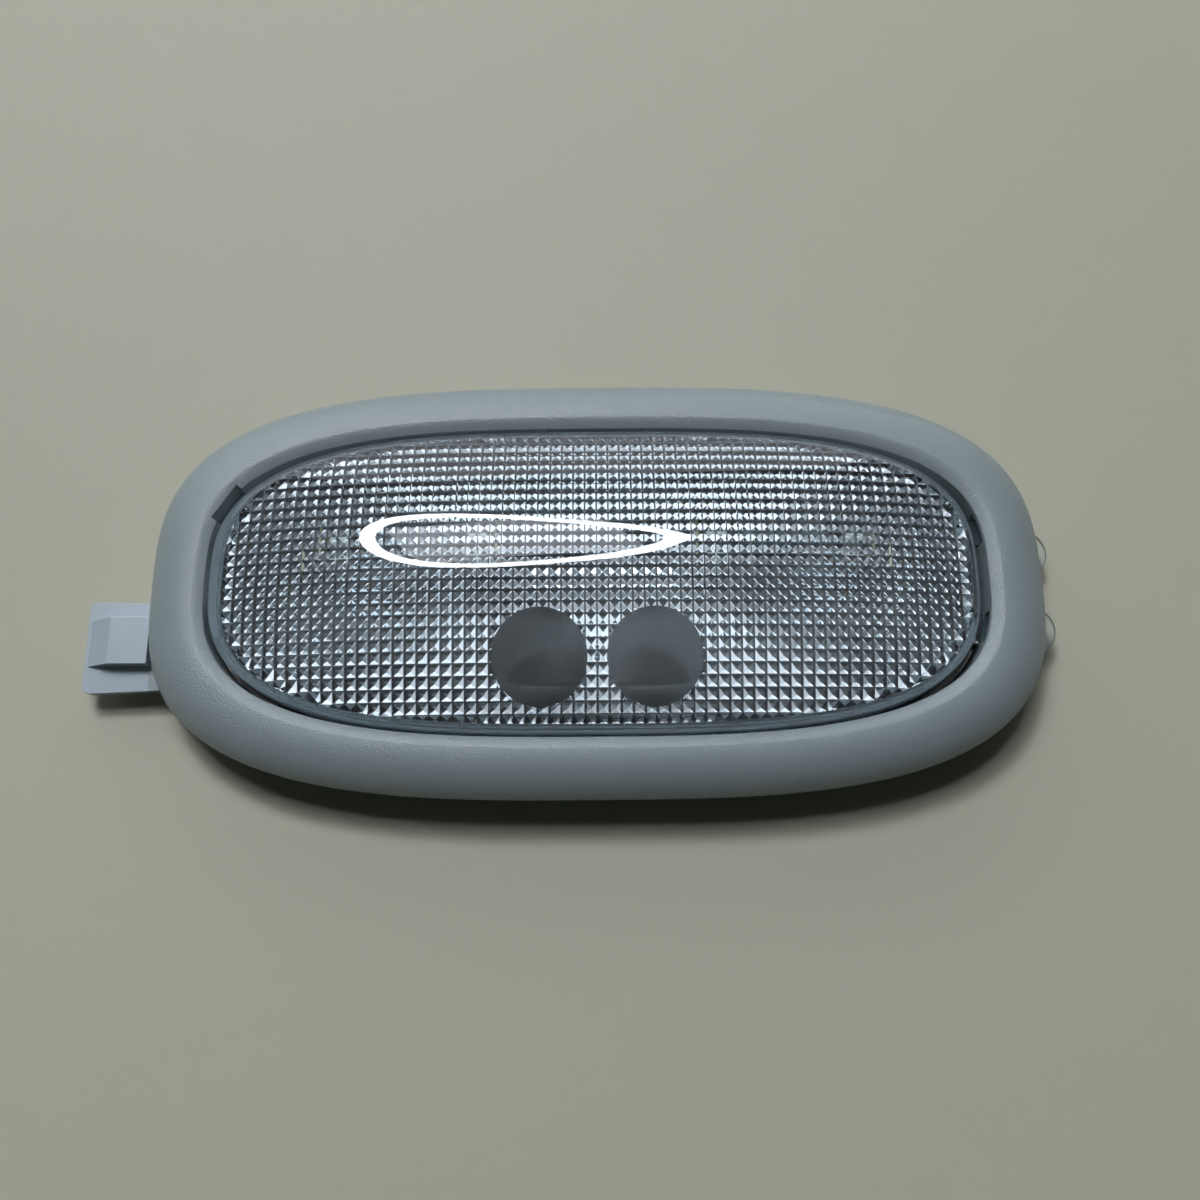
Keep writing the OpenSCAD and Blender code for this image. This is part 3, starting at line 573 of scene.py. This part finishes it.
def makeLensShell():
    form = lensForm
    pitch, wall, depth = form["pitch"], form["wall"], form["depth"]
    loop = fieldOutline()
    count = len(loop)
    index = {p: k for k, p in enumerate(loop)}
    points, known, faces = [], {}, []

    def vertex(x, y, z):
        key = (round(x, 5), round(y, 5), round(z, 5))
        if key not in known:
            known[key] = len(points)
            points.append(key)
        return known[key]

    # outer face as rings that shrink towards the middle, then the shoulder and the skirt
    shares = [1 - (k / form["rings"]) for k in range(form["rings"])]
    rings = [[vertex(x * s, y * s, lensHeight(x * s, y * s)) for x, y in loop] for s in shares]
    hub = vertex(0, 0, lensHeight(0, 0))
    ways = [outward(p) for p in loop]
    ways = [(u, v, 1 + form["leftSpread"] * max(0.0, -u) ** 3) for u, v in ways]
    strips = [rings[0]]
    for out, height in skirtSection():
        spots = [(x + u * out * s, y + v * out * s) for (x, y), (u, v, s) in zip(loop, ways)]
        strips.append([vertex(x, y, height) for x, y in spots])
    strips.append([vertex(x, y, lensHeight(x, y) - wall) for x, y in loop])
    for outerRing, innerRing in zip(rings, rings[1:]):
        for i in range(count):
            j = (i + 1) % count
            faces.append((outerRing[i], outerRing[j], innerRing[j], innerRing[i]))
    for i in range(count):
        faces.append((rings[-1][i], rings[-1][(i + 1) % count], hub))
    for above, below in zip(strips, strips[1:]):
        for i in range(count):
            j = (i + 1) % count
            faces.append((below[i], below[j], above[j], above[i]))

    # inner face: one square prism in each cell of the grid
    nx, ny = math.ceil(fieldHalf[0] / pitch), math.ceil(fieldHalf[1] / pitch)
    for i, j in ((i, j) for i in range(-nx, nx) for j in range(-ny, ny)):
        corners = [(i, j), (i + 1, j), (i + 1, j + 1), (i, j + 1)]
        corners = [(round(u * pitch, 6), round(v * pitch, 6)) for u, v in corners]
        inside = [inField(c) > 0 for c in corners]
        if not any(inside):
            continue
        outline = corners if all(inside) else cutCell(corners, inside, loop, index)
        centre = ((corners[0][0] + corners[2][0]) / 2, (corners[0][1] + corners[2][1]) / 2)
        if inField(centre) > 0.02:
            tip = vertex(*centre, lensHeight(*centre) - wall - depth)
        else:  # little of this cell is left, so its prism is lower
            mx = sum(p[0] for p in outline) / len(outline)
            my = sum(p[1] for p in outline) / len(outline)
            share = 1 - max(abs(mx - centre[0]), abs(my - centre[1])) / (pitch / 2)
            tip = vertex(mx, my, lensHeight(mx, my) - wall - depth * max(0.0, share))
        ids = [vertex(x, y, lensHeight(x, y) - wall) for x, y in outline]
        if all(inside):
            share = 1 - 2 * form["land"] / pitch
            foot = [(lerp(centre[0], x, share), lerp(centre[1], y, share)) for x, y in outline]
            inset = [vertex(x, y, lensHeight(x, y) - wall) for x, y in foot]
            faces += [(ids[(k + 1) % 4], ids[k], inset[k], inset[(k + 1) % 4]) for k in range(4)]
            ids = inset
        for k in range(len(ids)):
            faces.append((ids[(k + 1) % len(ids)], ids[k], tip))
    return makeObject("lensMoulding", points, faces)


# Cutter that leaves a smooth round window: its top follows the inner face just above the prisms
def windowCutter(centreX):
    form = lensForm
    centreY = form["windowIn"] - fieldHalf[1]
    count, steps = 128, 10

    def face(x, y):
        return lensHeight(x, y) - form["wall"] + form["windowSink"]

    rings = []
    for k in range(1, steps + 1):
        ring = circlePoints(form["windowRadius"] * k / steps, (centreX, centreY), count)
        rings.append([(x, y, face(x, y)) for x, y in ring])
    rings.append([(x, y, form["windowFloor"]) for x, y, z in rings[-1]])
    points, faces = ringSkin(rings)
    hub = len(points)
    points.append((centreX, centreY, face(centreX, centreY)))
    faces += [(k, (k + 1) % count, hub) for k in range(count)]
    base = (len(rings) - 1) * count
    faces.append(tuple(base + k for k in range(count)))
    return makeObject("windowCutter", points, faces)


def makeLens():
    form, arm = lensForm, hingeForm
    lens = makeLensShell()
    extras = []
    half, halfThick = arm["armWidth"] / 2, arm["armThick"] / 2
    start = ovalHalf(arm["armAway"] + half, fieldHalf[1], fieldHalf[0]) + form["shoulder"] - form["skirt"] / 2
    pinPoints = circlePoints(arm["pin"], (hingePlace[0], hingePlace[2]), 40)
    reach = half + arm["pinLength"]
    for side in (-1, 1):
        y = side * arm["armAway"]
        outline = rectangle(start, hingePlace[0], y - half, y + half)
        extras.append(extruded("arm", outline, hingePlace[2] - halfThick, hingePlace[2] + halfThick))
        extras.append(extruded("pin", pinPoints, -reach, reach, standing(y)))
    skirtX = fieldHalf[0] + form["shoulder"] - form["skirt"] / 2
    out, (low, lowTip), high = lensLow.x, form["catchLow"], form["catchHigh"]
    catch = [(-skirtX, low), (out, lowTip), (out + 0.3, high), (-skirtX, high)]
    extras.append(extruded("catch", catch, 0, 2 * form["catchHalf"], standing(form["catchHalf"])))
    combine(lens, extras, "UNION")
    combine(lens, [windowCutter(-form["windowAway"]), windowCutter(form["windowAway"])], "DIFFERENCE")
    shadeByAngle(lens, form["crispAngle"])
    return lens


# Reflector: thin dish with a flat floor, sloped wall and a flange on the housing
dishForm = {
    "wall": 0.8,
    "endRun": 18.2,  # run of the sloped wall at the ends
    "sideRun": 9.0,  # run of the sloped wall along the sides
    "floorIn": 6.0,  # the floor's ring lies this far inside the foot of the wall
    "flange": 1.7,
    "lean": 0.9,
    "slotHalf": (0.85, 4.6),  # half width and half length of a clip's slot
    "slotIn": 0.25,  # from a clip's outer face to the middle of its slot
    "slotLow": 1.0,
    "slotHigh": 3.4,
    "crispAngle": 35,
    "around": 256,
}


# Cuts the corners of an open line of (a, b, height) rows, so that it bends smoothly
def softenRows(rows, rounds=3):
    for _ in range(rounds):
        soft = [rows[0]]
        for p, q in zip(rows, rows[1:]):
            soft.append(tuple(lerp(u, v, 0.25) for u, v in zip(p, q)))
            soft.append(tuple(lerp(u, v, 0.75) for u, v in zip(p, q)))
        rows = soft + [rows[-1]]
    return rows


def makeClipSlots():
    form, slots = dishForm, []
    halfX, halfY = form["slotHalf"]
    for node in ("clip_left_outer", "clip_left_inner", "clip_right_inner", "clip_right_outer"):
        lowCorner, highCorner = frameBox(node)
        middle = (lowCorner.x + highCorner.x) / 2
        bulb = frameBox("bulb_glass_left" if middle < 0 else "bulb_glass_right")
        bulbX, y = (bulb[0].x + bulb[1].x) / 2, (bulb[0].y + bulb[1].y) / 2
        x = lowCorner.x + form["slotIn"] if middle < bulbX else highCorner.x - form["slotIn"]
        outline = rectangle(x - halfX, x + halfX, y - halfY, y + halfY)
        slots.append(extruded("slot", outline, dishLow.z - form["slotLow"], dishLow.z + form["slotHigh"]))
    return slots


def makeReflector():
    form = dishForm
    wall, lean, step = form["wall"], form["lean"], form["floorIn"]
    a, b = dishHigh.x, dishHigh.y
    low, top = dishLow.z, dishHigh.z
    inA, inB = a - form["flange"], b - form["flange"]
    floorA, floorB = inA - form["endRun"], inB - form["sideRun"]
    under = [(floorA - step, floorB - step, low), (floorA, floorB, low), (inA, inB, top - wall)]
    upper = [
        (inA - lean, inB - lean, top),
        (floorA - lean / 2, floorB - lean / 2, low + wall),
        (floorA - step, floorB - step, low + wall),
    ]
    rows = softenRows(under) + [(a, b, top - wall), (a, b, top)] + softenRows(upper)
    turns = evenTurns(a, b, form["around"])
    rings = [[(*ovalAt(u, v, t), z) for t in turns] for u, v, z in rows]
    dish = makeObject("reflectorDish", *ringSkin(rings, capped=True))
    combine(dish, makeClipSlots(), "DIFFERENCE")
    shadeByAngle(dish, form["crispAngle"])
    return dish


# Bezel: ABS moulded in a spark-eroded tool, so it is matt grey with a very fine even grain.
# The grain is drawn a little coarser than the real one, so that it shows.
def greyMoulding():
    form = {
        "base": "8f9b9c",
        "shade": "889495",
        "cloud": 60.0,  # the two greys drift into each other over this many millimetres
        "roughness": 0.3,
        "grain": 0.34,
        "bump": 0.18,
        "grainStrength": 0.75,
        "tongue": "a9b6bd",  # the tongue's grain is smoother, and it is painted paler as painted sheen for the light its flat top catches
        "tongueStrength": 0.12,
        "tongueEdge": -97.7,
        "tongueFade": 0.4,
    }
    material, tree, shader, place = startMaterial("abs_spark_eroded_grey", {
        "Roughness": form["roughness"], "IOR": 1.5, "Specular IOR Level": 0.9})
    cloud = addNode(tree, "ShaderNodeTexNoise", {
        "Scale": 1 / (form["cloud"] * mm), "Detail": 3.0}, {"Vector": place})
    tint = addNode(tree, "ShaderNodeMix", {6: colour(form["base"]), 7: colour(form["shade"])}, {
        0: cloud.outputs["Fac"]}, data_type="RGBA")
    side = addNode(tree, "ShaderNodeSeparateXYZ", links={"Vector": place}).outputs["X"]
    span = {
        "From Min": (form["tongueEdge"] - form["tongueFade"]) * mm,
        "From Max": form["tongueEdge"] * mm,
    }
    away = addNode(tree, "ShaderNodeMapRange", span, {"Value": side})
    # the tongue is painted in the paler colour, as painted sheen on its flat top
    toneWithTongueSheen = addNode(tree, "ShaderNodeMix", {6: colour(form["tongue"])}, {
        0: away.outputs["Result"], 7: tint.outputs[2]}, data_type="RGBA")
    tree.links.new(toneWithTongueSheen.outputs[2], shader.inputs["Base Color"])
    strength = addNode(tree, "ShaderNodeMapRange", {
        **span, "To Min": form["tongueStrength"], "To Max": form["grainStrength"]}, {"Value": side})
    grain = addNode(tree, "ShaderNodeTexNoise", {
        "Scale": 1 / (form["grain"] * mm), "Detail": 2.0, "Roughness": 0.55}, {"Vector": place})
    bump = addNode(tree, "ShaderNodeBump", {"Distance": form["bump"] * mm}, {
        "Height": grain.outputs["Fac"], "Strength": strength.outputs["Result"]})
    tree.links.new(bump.outputs["Normal"], shader.inputs["Normal"])
    return material


# Lens: acrylic moulded in a polished tool, clear with crisp reflections; its skirt comes frosted and pale
def clearLens():
    form = {
        "base": "eef6fa",
        "frostTop": 14.7,  # the skirt is frosted below this height
        "frostFade": 0.4,
        "frostRoughness": 0.5,
        "frostClear": 0.15,
        "armFrom": 81.2,  # the hinge arms beyond this are clear again
    }
    material, tree, shader, place = startMaterial("acrylic_polished_clear", {
        "Base Color": colour(form["base"]), "IOR": 1.49})
    axes = addNode(tree, "ShaderNodeSeparateXYZ", links={"Vector": place}).outputs
    above = addNode(tree, "ShaderNodeMapRange", {
        "From Min": (form["frostTop"] - form["frostFade"]) * mm,
        "From Max": form["frostTop"] * mm}, {"Value": axes["Z"]})
    beyond = addNode(tree, "ShaderNodeMapRange", {
        "From Min": form["armFrom"] * mm,
        "From Max": (form["armFrom"] + form["frostFade"]) * mm}, {"Value": axes["X"]})
    polish = addNode(tree, "ShaderNodeMath", links={
        0: above.outputs["Result"], 1: beyond.outputs["Result"]}, operation="MAXIMUM").outputs["Value"]
    rough = addNode(tree, "ShaderNodeMapRange", {"To Min": form["frostRoughness"], "To Max": 0.0}, {
        "Value": polish})
    clear = addNode(tree, "ShaderNodeMapRange", {"To Min": form["frostClear"], "To Max": 1.0}, {
        "Value": polish})
    tree.links.new(rough.outputs["Result"], shader.inputs["Roughness"])
    tree.links.new(clear.outputs["Result"], shader.inputs["Transmission Weight"])
    return material


# Clear parts without a pattern: only what light does at a smooth clear surface
def plainClear(name, base, roughness, ior):
    return startMaterial(name, {
        "Base Color": colour(base), "Roughness": roughness, "IOR": ior, "Transmission Weight": 1.0})[0]


# Reflector: aluminium evaporated on moulded plastic. It is a satin mirror, a little wavy, with
# fine lines along its length that are drawn coarser than the real ones. Its colour is painted dark, as
# painted shade for the dark surroundings that it mirrors.
def metallised():
    form = {
        # base and shade are painted dark: painted shade for the dark surroundings the mirror shows
        "base": "585755",
        "shade": "353432",
        "roughness": 0.14,
        "wave": 16.0,
        "waveHeight": 0.3,
        "streak": 0.35,
        "streakHeight": 0.006,
        "streakStretch": (0.03, 1, 1),
    }
    material, tree, shader, place = startMaterial("aluminium_vacuum_metallised", {
        "Base Color": colour(form["base"]), "Metallic": 1.0, "Roughness": form["roughness"]})
    wave = addNode(tree, "ShaderNodeTexNoise", {
        "Scale": 1 / (form["wave"] * mm), "Detail": 1.0}, {"Vector": place})
    # the tone goes darker and lighter with the waves, as painted reflection
    waveShading = addNode(tree, "ShaderNodeMapRange", {"From Min": 0.35, "From Max": 0.65}, {
        "Value": wave.outputs["Fac"]})
    tint = addNode(tree, "ShaderNodeMix", {6: colour(form["shade"]), 7: colour(form["base"])}, {
        0: waveShading.outputs["Result"]}, data_type="RGBA")
    tree.links.new(tint.outputs[2], shader.inputs["Base Color"])
    swell = addNode(tree, "ShaderNodeBump", {
        "Strength": 1.0, "Distance": form["waveHeight"] * mm}, {"Height": wave.outputs["Fac"]})
    along = addNode(tree, "ShaderNodeMapping", {"Scale": form["streakStretch"]}, {"Vector": place})
    lines = addNode(tree, "ShaderNodeTexNoise", {
        "Scale": 1 / (form["streak"] * mm), "Detail": 3.0}, {"Vector": along.outputs["Vector"]})
    bump = addNode(tree, "ShaderNodeBump", {"Strength": 1.0, "Distance": form["streakHeight"] * mm}, {
        "Height": lines.outputs["Fac"], "Normal": swell.outputs["Normal"]})
    tree.links.new(bump.outputs["Normal"], shader.inputs["Normal"])
    return material


# Metal stampings and small parts: one recipe with rolled or turned streaks
def smallMetal(name, base, roughness, streak, stretch=(1, 1, 1)):
    form = {"roughSpread": 0.3, "bump": 0.01, "bumpStrength": 0.2}
    material, tree, shader, place = startMaterial(name, {
        "Base Color": colour(base), "Metallic": 1.0, "Roughness": roughness})
    along = addNode(tree, "ShaderNodeMapping", {"Scale": stretch}, {"Vector": place})
    lines = addNode(tree, "ShaderNodeTexNoise", {
        "Scale": 1 / (streak * mm), "Detail": 4.0}, {"Vector": along.outputs["Vector"]})
    spread = addNode(tree, "ShaderNodeMapRange", {
        "To Min": roughness * (1 - form["roughSpread"]),
        "To Max": roughness * (1 + form["roughSpread"])}, {"Value": lines.outputs["Fac"]})
    tree.links.new(spread.outputs["Result"], shader.inputs["Roughness"])
    bump = addNode(tree, "ShaderNodeBump", {
        "Strength": form["bumpStrength"], "Distance": form["bump"] * mm}, {"Height": lines.outputs["Fac"]})
    tree.links.new(bump.outputs["Normal"], shader.inputs["Normal"])
    return material


print("making the pieces")
bezel = makeBezel()
print("bezel made:", len(bezel.data.polygons), "faces")
lens = makeLens()
print("lens made:", len(lens.data.polygons), "faces")
dish = makeReflector()
print("reflector made:", len(dish.data.polygons), "faces")

setMaterial(bezel, greyMoulding())
setMaterial(lens, clearLens())
setMaterial(dish, metallised())

# Finishes of the solids that keep their own mesh, by the start of their names
nodeFinishes = {
    # zinc-plated steel: plated in a barrel, so it is an even dull grey
    "housing_screws": smallMetal("steel_zinc_plated", "b9bcb8", 0.34, 0.6),
    # clear polycarbonate: moulded in a plain tool, so it is clear but a little duller than the lens
    "housing": plainClear("polycarbonate_moulded_clear", "eef4f6", 0.04, 1.58),
    # brass: rolled along X and stamped, so it is warm yellow with faint streaks along it
    "feed_strip": smallMetal("brass_stamped", "c8ab62", 0.32, 0.5, (1, 8, 8)),
    # tinned spring brass: rolled along Z and dipped, so it is pale with faint upright streaks
    "clip_": smallMetal("spring_brass_tinned", "cfc4a2", 0.28, 0.5, (8, 8, 1)),
    # nickel-plated cap: drawn and plated, so it is bright and slightly warm
    "bulb_cap": smallMetal("nickel_plated_cap", "c9c6bd", 0.22, 0.6),
    # soda-lime glass: drawn as a tube, so it is clear with crisp reflections
    "bulb_glass": plainClear("soda_lime_glass", "fafcfc", 0.0, 1.52),
    # tungsten: drawn to wire and coiled, so it is a dull dark grey
    "bulb_filament": smallMetal("tungsten_coiled", "6f6d69", 0.4, 0.15),
}
nodeFinishes["ground_strip"] = nodeFinishes["feed_strip"]
nodeFinishes["contact_rivets"] = nodeFinishes["housing_screws"]
for name, node in frame["nodes"].items():
    for start, finish in nodeFinishes.items():
        if name.startswith(start):
            setMaterial(node, finish)
            break

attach(bezel, "lamp")
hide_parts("bezel")
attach(lens, "lens_body")
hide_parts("lens")
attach(dish, "lamp")
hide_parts("reflector")
print("pieces placed on their bodies")

# Floor, lamps and world, in metres
stageForm = {
    "floor": "bbbaa5",
    "floorSize": 6.0,
    "ringCentre": (-0.2, 0.66, 1.24),  # ring lamp behind and above the object
    "ringRadius": 0.34,
    "ringDrop": 0.45,  # how much the ring narrows to its right end
    "ringSquash": 0.88,
    "ringTube": 0.028,
    "ringSkew": -0.2,  # lean of the ring, so that its point lies lower
    "ringStrength": 26.0,
    "ringLight": "f3f8ff",
    "skyLight": "e4edf6",
    "skyLow": 0.015,
    "skyGloss": 0.28,
    # pale backdrop that the clear parts show
    "paleWay": (-0.22, 0.42, 0.88),
    "paleFrom": 0.4,  # cosine of the angle at which it has faded out
    "paleEdge": 0.12,
    "paleMiddle": 1.68,
    # dark spot in it, where the dish mirrors the camera
    "darkWay": (0, 0.24, 0.97),
    "darkFrom": 0.957,  # cosines of its outer and inner angle
    "darkTo": 0.986,
    "darkLevel": 0.2,
    # soft panels: middle, size, level, seen in reflections, seen through clear parts
    "panels": {
        "keyPanel": ((-0.6, 1.62, 2.45), (0.46, 0.46), 32.0, False, False),
        "glowPanel": ((-0.2, 0.66, 1.24), (0.5, 0.36), 3.0, True, False),
        "backPanel": ((-0.3, 1.75, 0.72), (3.4, 0.9), 1.2, True, False),
        "spotPanel": ((0.0, 0.36, 1.46), (0.07, 0.12), 1.7, False, True),
    },
    "panelLight": "f4f7ff",
    "panelPower": 4.0,  # watts for each square metre of a panel and step of level
}


# Floor: board with matt paint rolled on, so it is pale and even
def makeFloor():
    half = stageForm["floorSize"] / 2 / mm
    floor = makeObject("floor", [(x, y, 0) for x, y in rectangle(-half, half, -half, half)], [(0, 1, 2, 3)])
    setMaterial(floor, startMaterial("floor_pale_matt", {
        "Base Color": colour(stageForm["floor"]), "Roughness": 0.6})[0])


# Turns a lamp at a place towards the object
def faceObject(holder, place):
    holder.location = place
    holder.rotation_mode = "QUATERNION"
    holder.rotation_quaternion = (-Vector(place)).to_track_quat("-Z", "Y")


def makeRingLamp():
    form, around, tubeCount = stageForm, 96, 12
    rings = []
    for k in range(around):
        a = 2 * math.pi * k / around
        spoke = Vector((math.cos(a), math.sin(a), 0))
        taper = form["ringSquash"] * abs(math.cos(a / 2)) ** form["ringDrop"]
        ring = []
        for i in range(tubeCount):
            b = 2 * math.pi * i / tubeCount
            spot = spoke * (form["ringRadius"] + form["ringTube"] * math.cos(b))
            spot.y = spot.y * taper + form["ringSkew"] * spot.x
            ring.append((spot + Vector((0, 0, form["ringTube"] * math.sin(b)))) / mm)
        rings.append(ring)
    ring = makeObject("ringLamp", *ringSkin(rings, closed=True))
    faceObject(ring, form["ringCentre"])
    material = bpy.data.materials.new("lamp_glow")
    material.use_nodes = True
    tree = material.node_tree
    tree.nodes.clear()
    glow = addNode(tree, "ShaderNodeEmission", {
        "Color": colour(form["ringLight"]), "Strength": form["ringStrength"]})
    addNode(tree, "ShaderNodeOutputMaterial", links={"Surface": glow.outputs["Emission"]})
    setMaterial(ring, material)
    ring.visible_transmission = False


def makePanel(name, place, size, level, inGloss, inGlass):
    lamp = bpy.data.lights.new(name, "AREA")
    lamp.shape = "RECTANGLE"
    lamp.size, lamp.size_y = size
    lamp.energy = stageForm["panelPower"] * size[0] * size[1] * level
    lamp.color = colour(stageForm["panelLight"])[:3]
    holder = bpy.data.objects.new(name, lamp)
    bpy.context.scene.collection.objects.link(holder)
    faceObject(holder, place)
    holder.visible_glossy, holder.visible_transmission = inGloss, inGlass


# World: a low even level, a higher one in reflections and the pale backdrop through clear parts
def makeWorld():
    form = stageForm
    world = bpy.data.worlds.new("studio")
    bpy.context.scene.world = world
    world.use_nodes = True
    tree = world.node_tree
    tree.nodes.clear()
    spot = addNode(tree, "ShaderNodeTexCoord").outputs["Generated"]
    ray = addNode(tree, "ShaderNodeLightPath")
    near = addNode(tree, "ShaderNodeVectorMath", {1: form["paleWay"]}, {0: spot}, operation="DOT_PRODUCT")
    pale = addNode(tree, "ShaderNodeMapRange", {
        "From Min": form["paleFrom"], "To Min": form["paleEdge"], "To Max": form["paleMiddle"]}, {
        "Value": near.outputs["Value"]})
    over = addNode(tree, "ShaderNodeVectorMath", {1: form["darkWay"]}, {0: spot}, operation="DOT_PRODUCT")
    dark = addNode(tree, "ShaderNodeMapRange", {
        "From Min": form["darkFrom"], "From Max": form["darkTo"],
        "To Min": 1.0, "To Max": form["darkLevel"]}, {"Value": over.outputs["Value"]})
    seen = addNode(tree, "ShaderNodeMath", links={
        0: pale.outputs["Result"], 1: dark.outputs["Result"]}, operation="MULTIPLY")
    gloss = addNode(tree, "ShaderNodeMapRange", {"To Min": form["skyLow"], "To Max": form["skyGloss"]}, {
        "Value": ray.outputs["Is Glossy Ray"]})
    level = addNode(tree, "ShaderNodeMapRange", links={
        "Value": ray.outputs["Is Transmission Ray"],
        "To Min": gloss.outputs["Result"], "To Max": seen.outputs["Value"]})
    sky = addNode(tree, "ShaderNodeBackground", {"Color": colour(form["skyLight"])}, {
        "Strength": level.outputs["Result"]})
    addNode(tree, "ShaderNodeOutputWorld", links={"Surface": sky.outputs["Background"]})


# The camera stands where the photograph was taken from; eye and aim are in millimetres
cameraForm = {
    "eye": (0.65, -79.2, 261.3),
    "aim": (0.65, -8.1, 25.0),
    "roll": 0.45,  # degrees
    "lens": 36,
    "clip": (0.01, 50),
}


def makeCamera():
    form = cameraForm
    eye, aim = Vector(form["eye"]) * mm, Vector(form["aim"]) * mm
    roll = math.radians(form["roll"])
    forward = (aim - eye).normalized()
    right = forward.cross(Vector((0, 0, 1))).normalized()
    down = forward.cross(right).normalized()
    across = right * math.cos(roll) + down * math.sin(roll)
    back = -forward
    turn = Matrix((across, back.cross(across), back)).transposed().to_4x4()
    data = bpy.data.cameras.new("camera")
    data.sensor_width = 36
    data.lens = form["lens"]
    data.clip_start, data.clip_end = form["clip"]
    camera = bpy.data.objects.new("camera", data)
    bpy.context.scene.collection.objects.link(camera)
    camera.matrix_world = Matrix.Translation(eye) @ turn
    bpy.context.scene.camera = camera


makeFloor()
makeRingLamp()
for name, panel in stageForm["panels"].items():
    makePanel(name, *panel)
makeWorld()
makeCamera()
bpy.context.scene.view_settings.view_transform = "Standard"
print("stage ready")
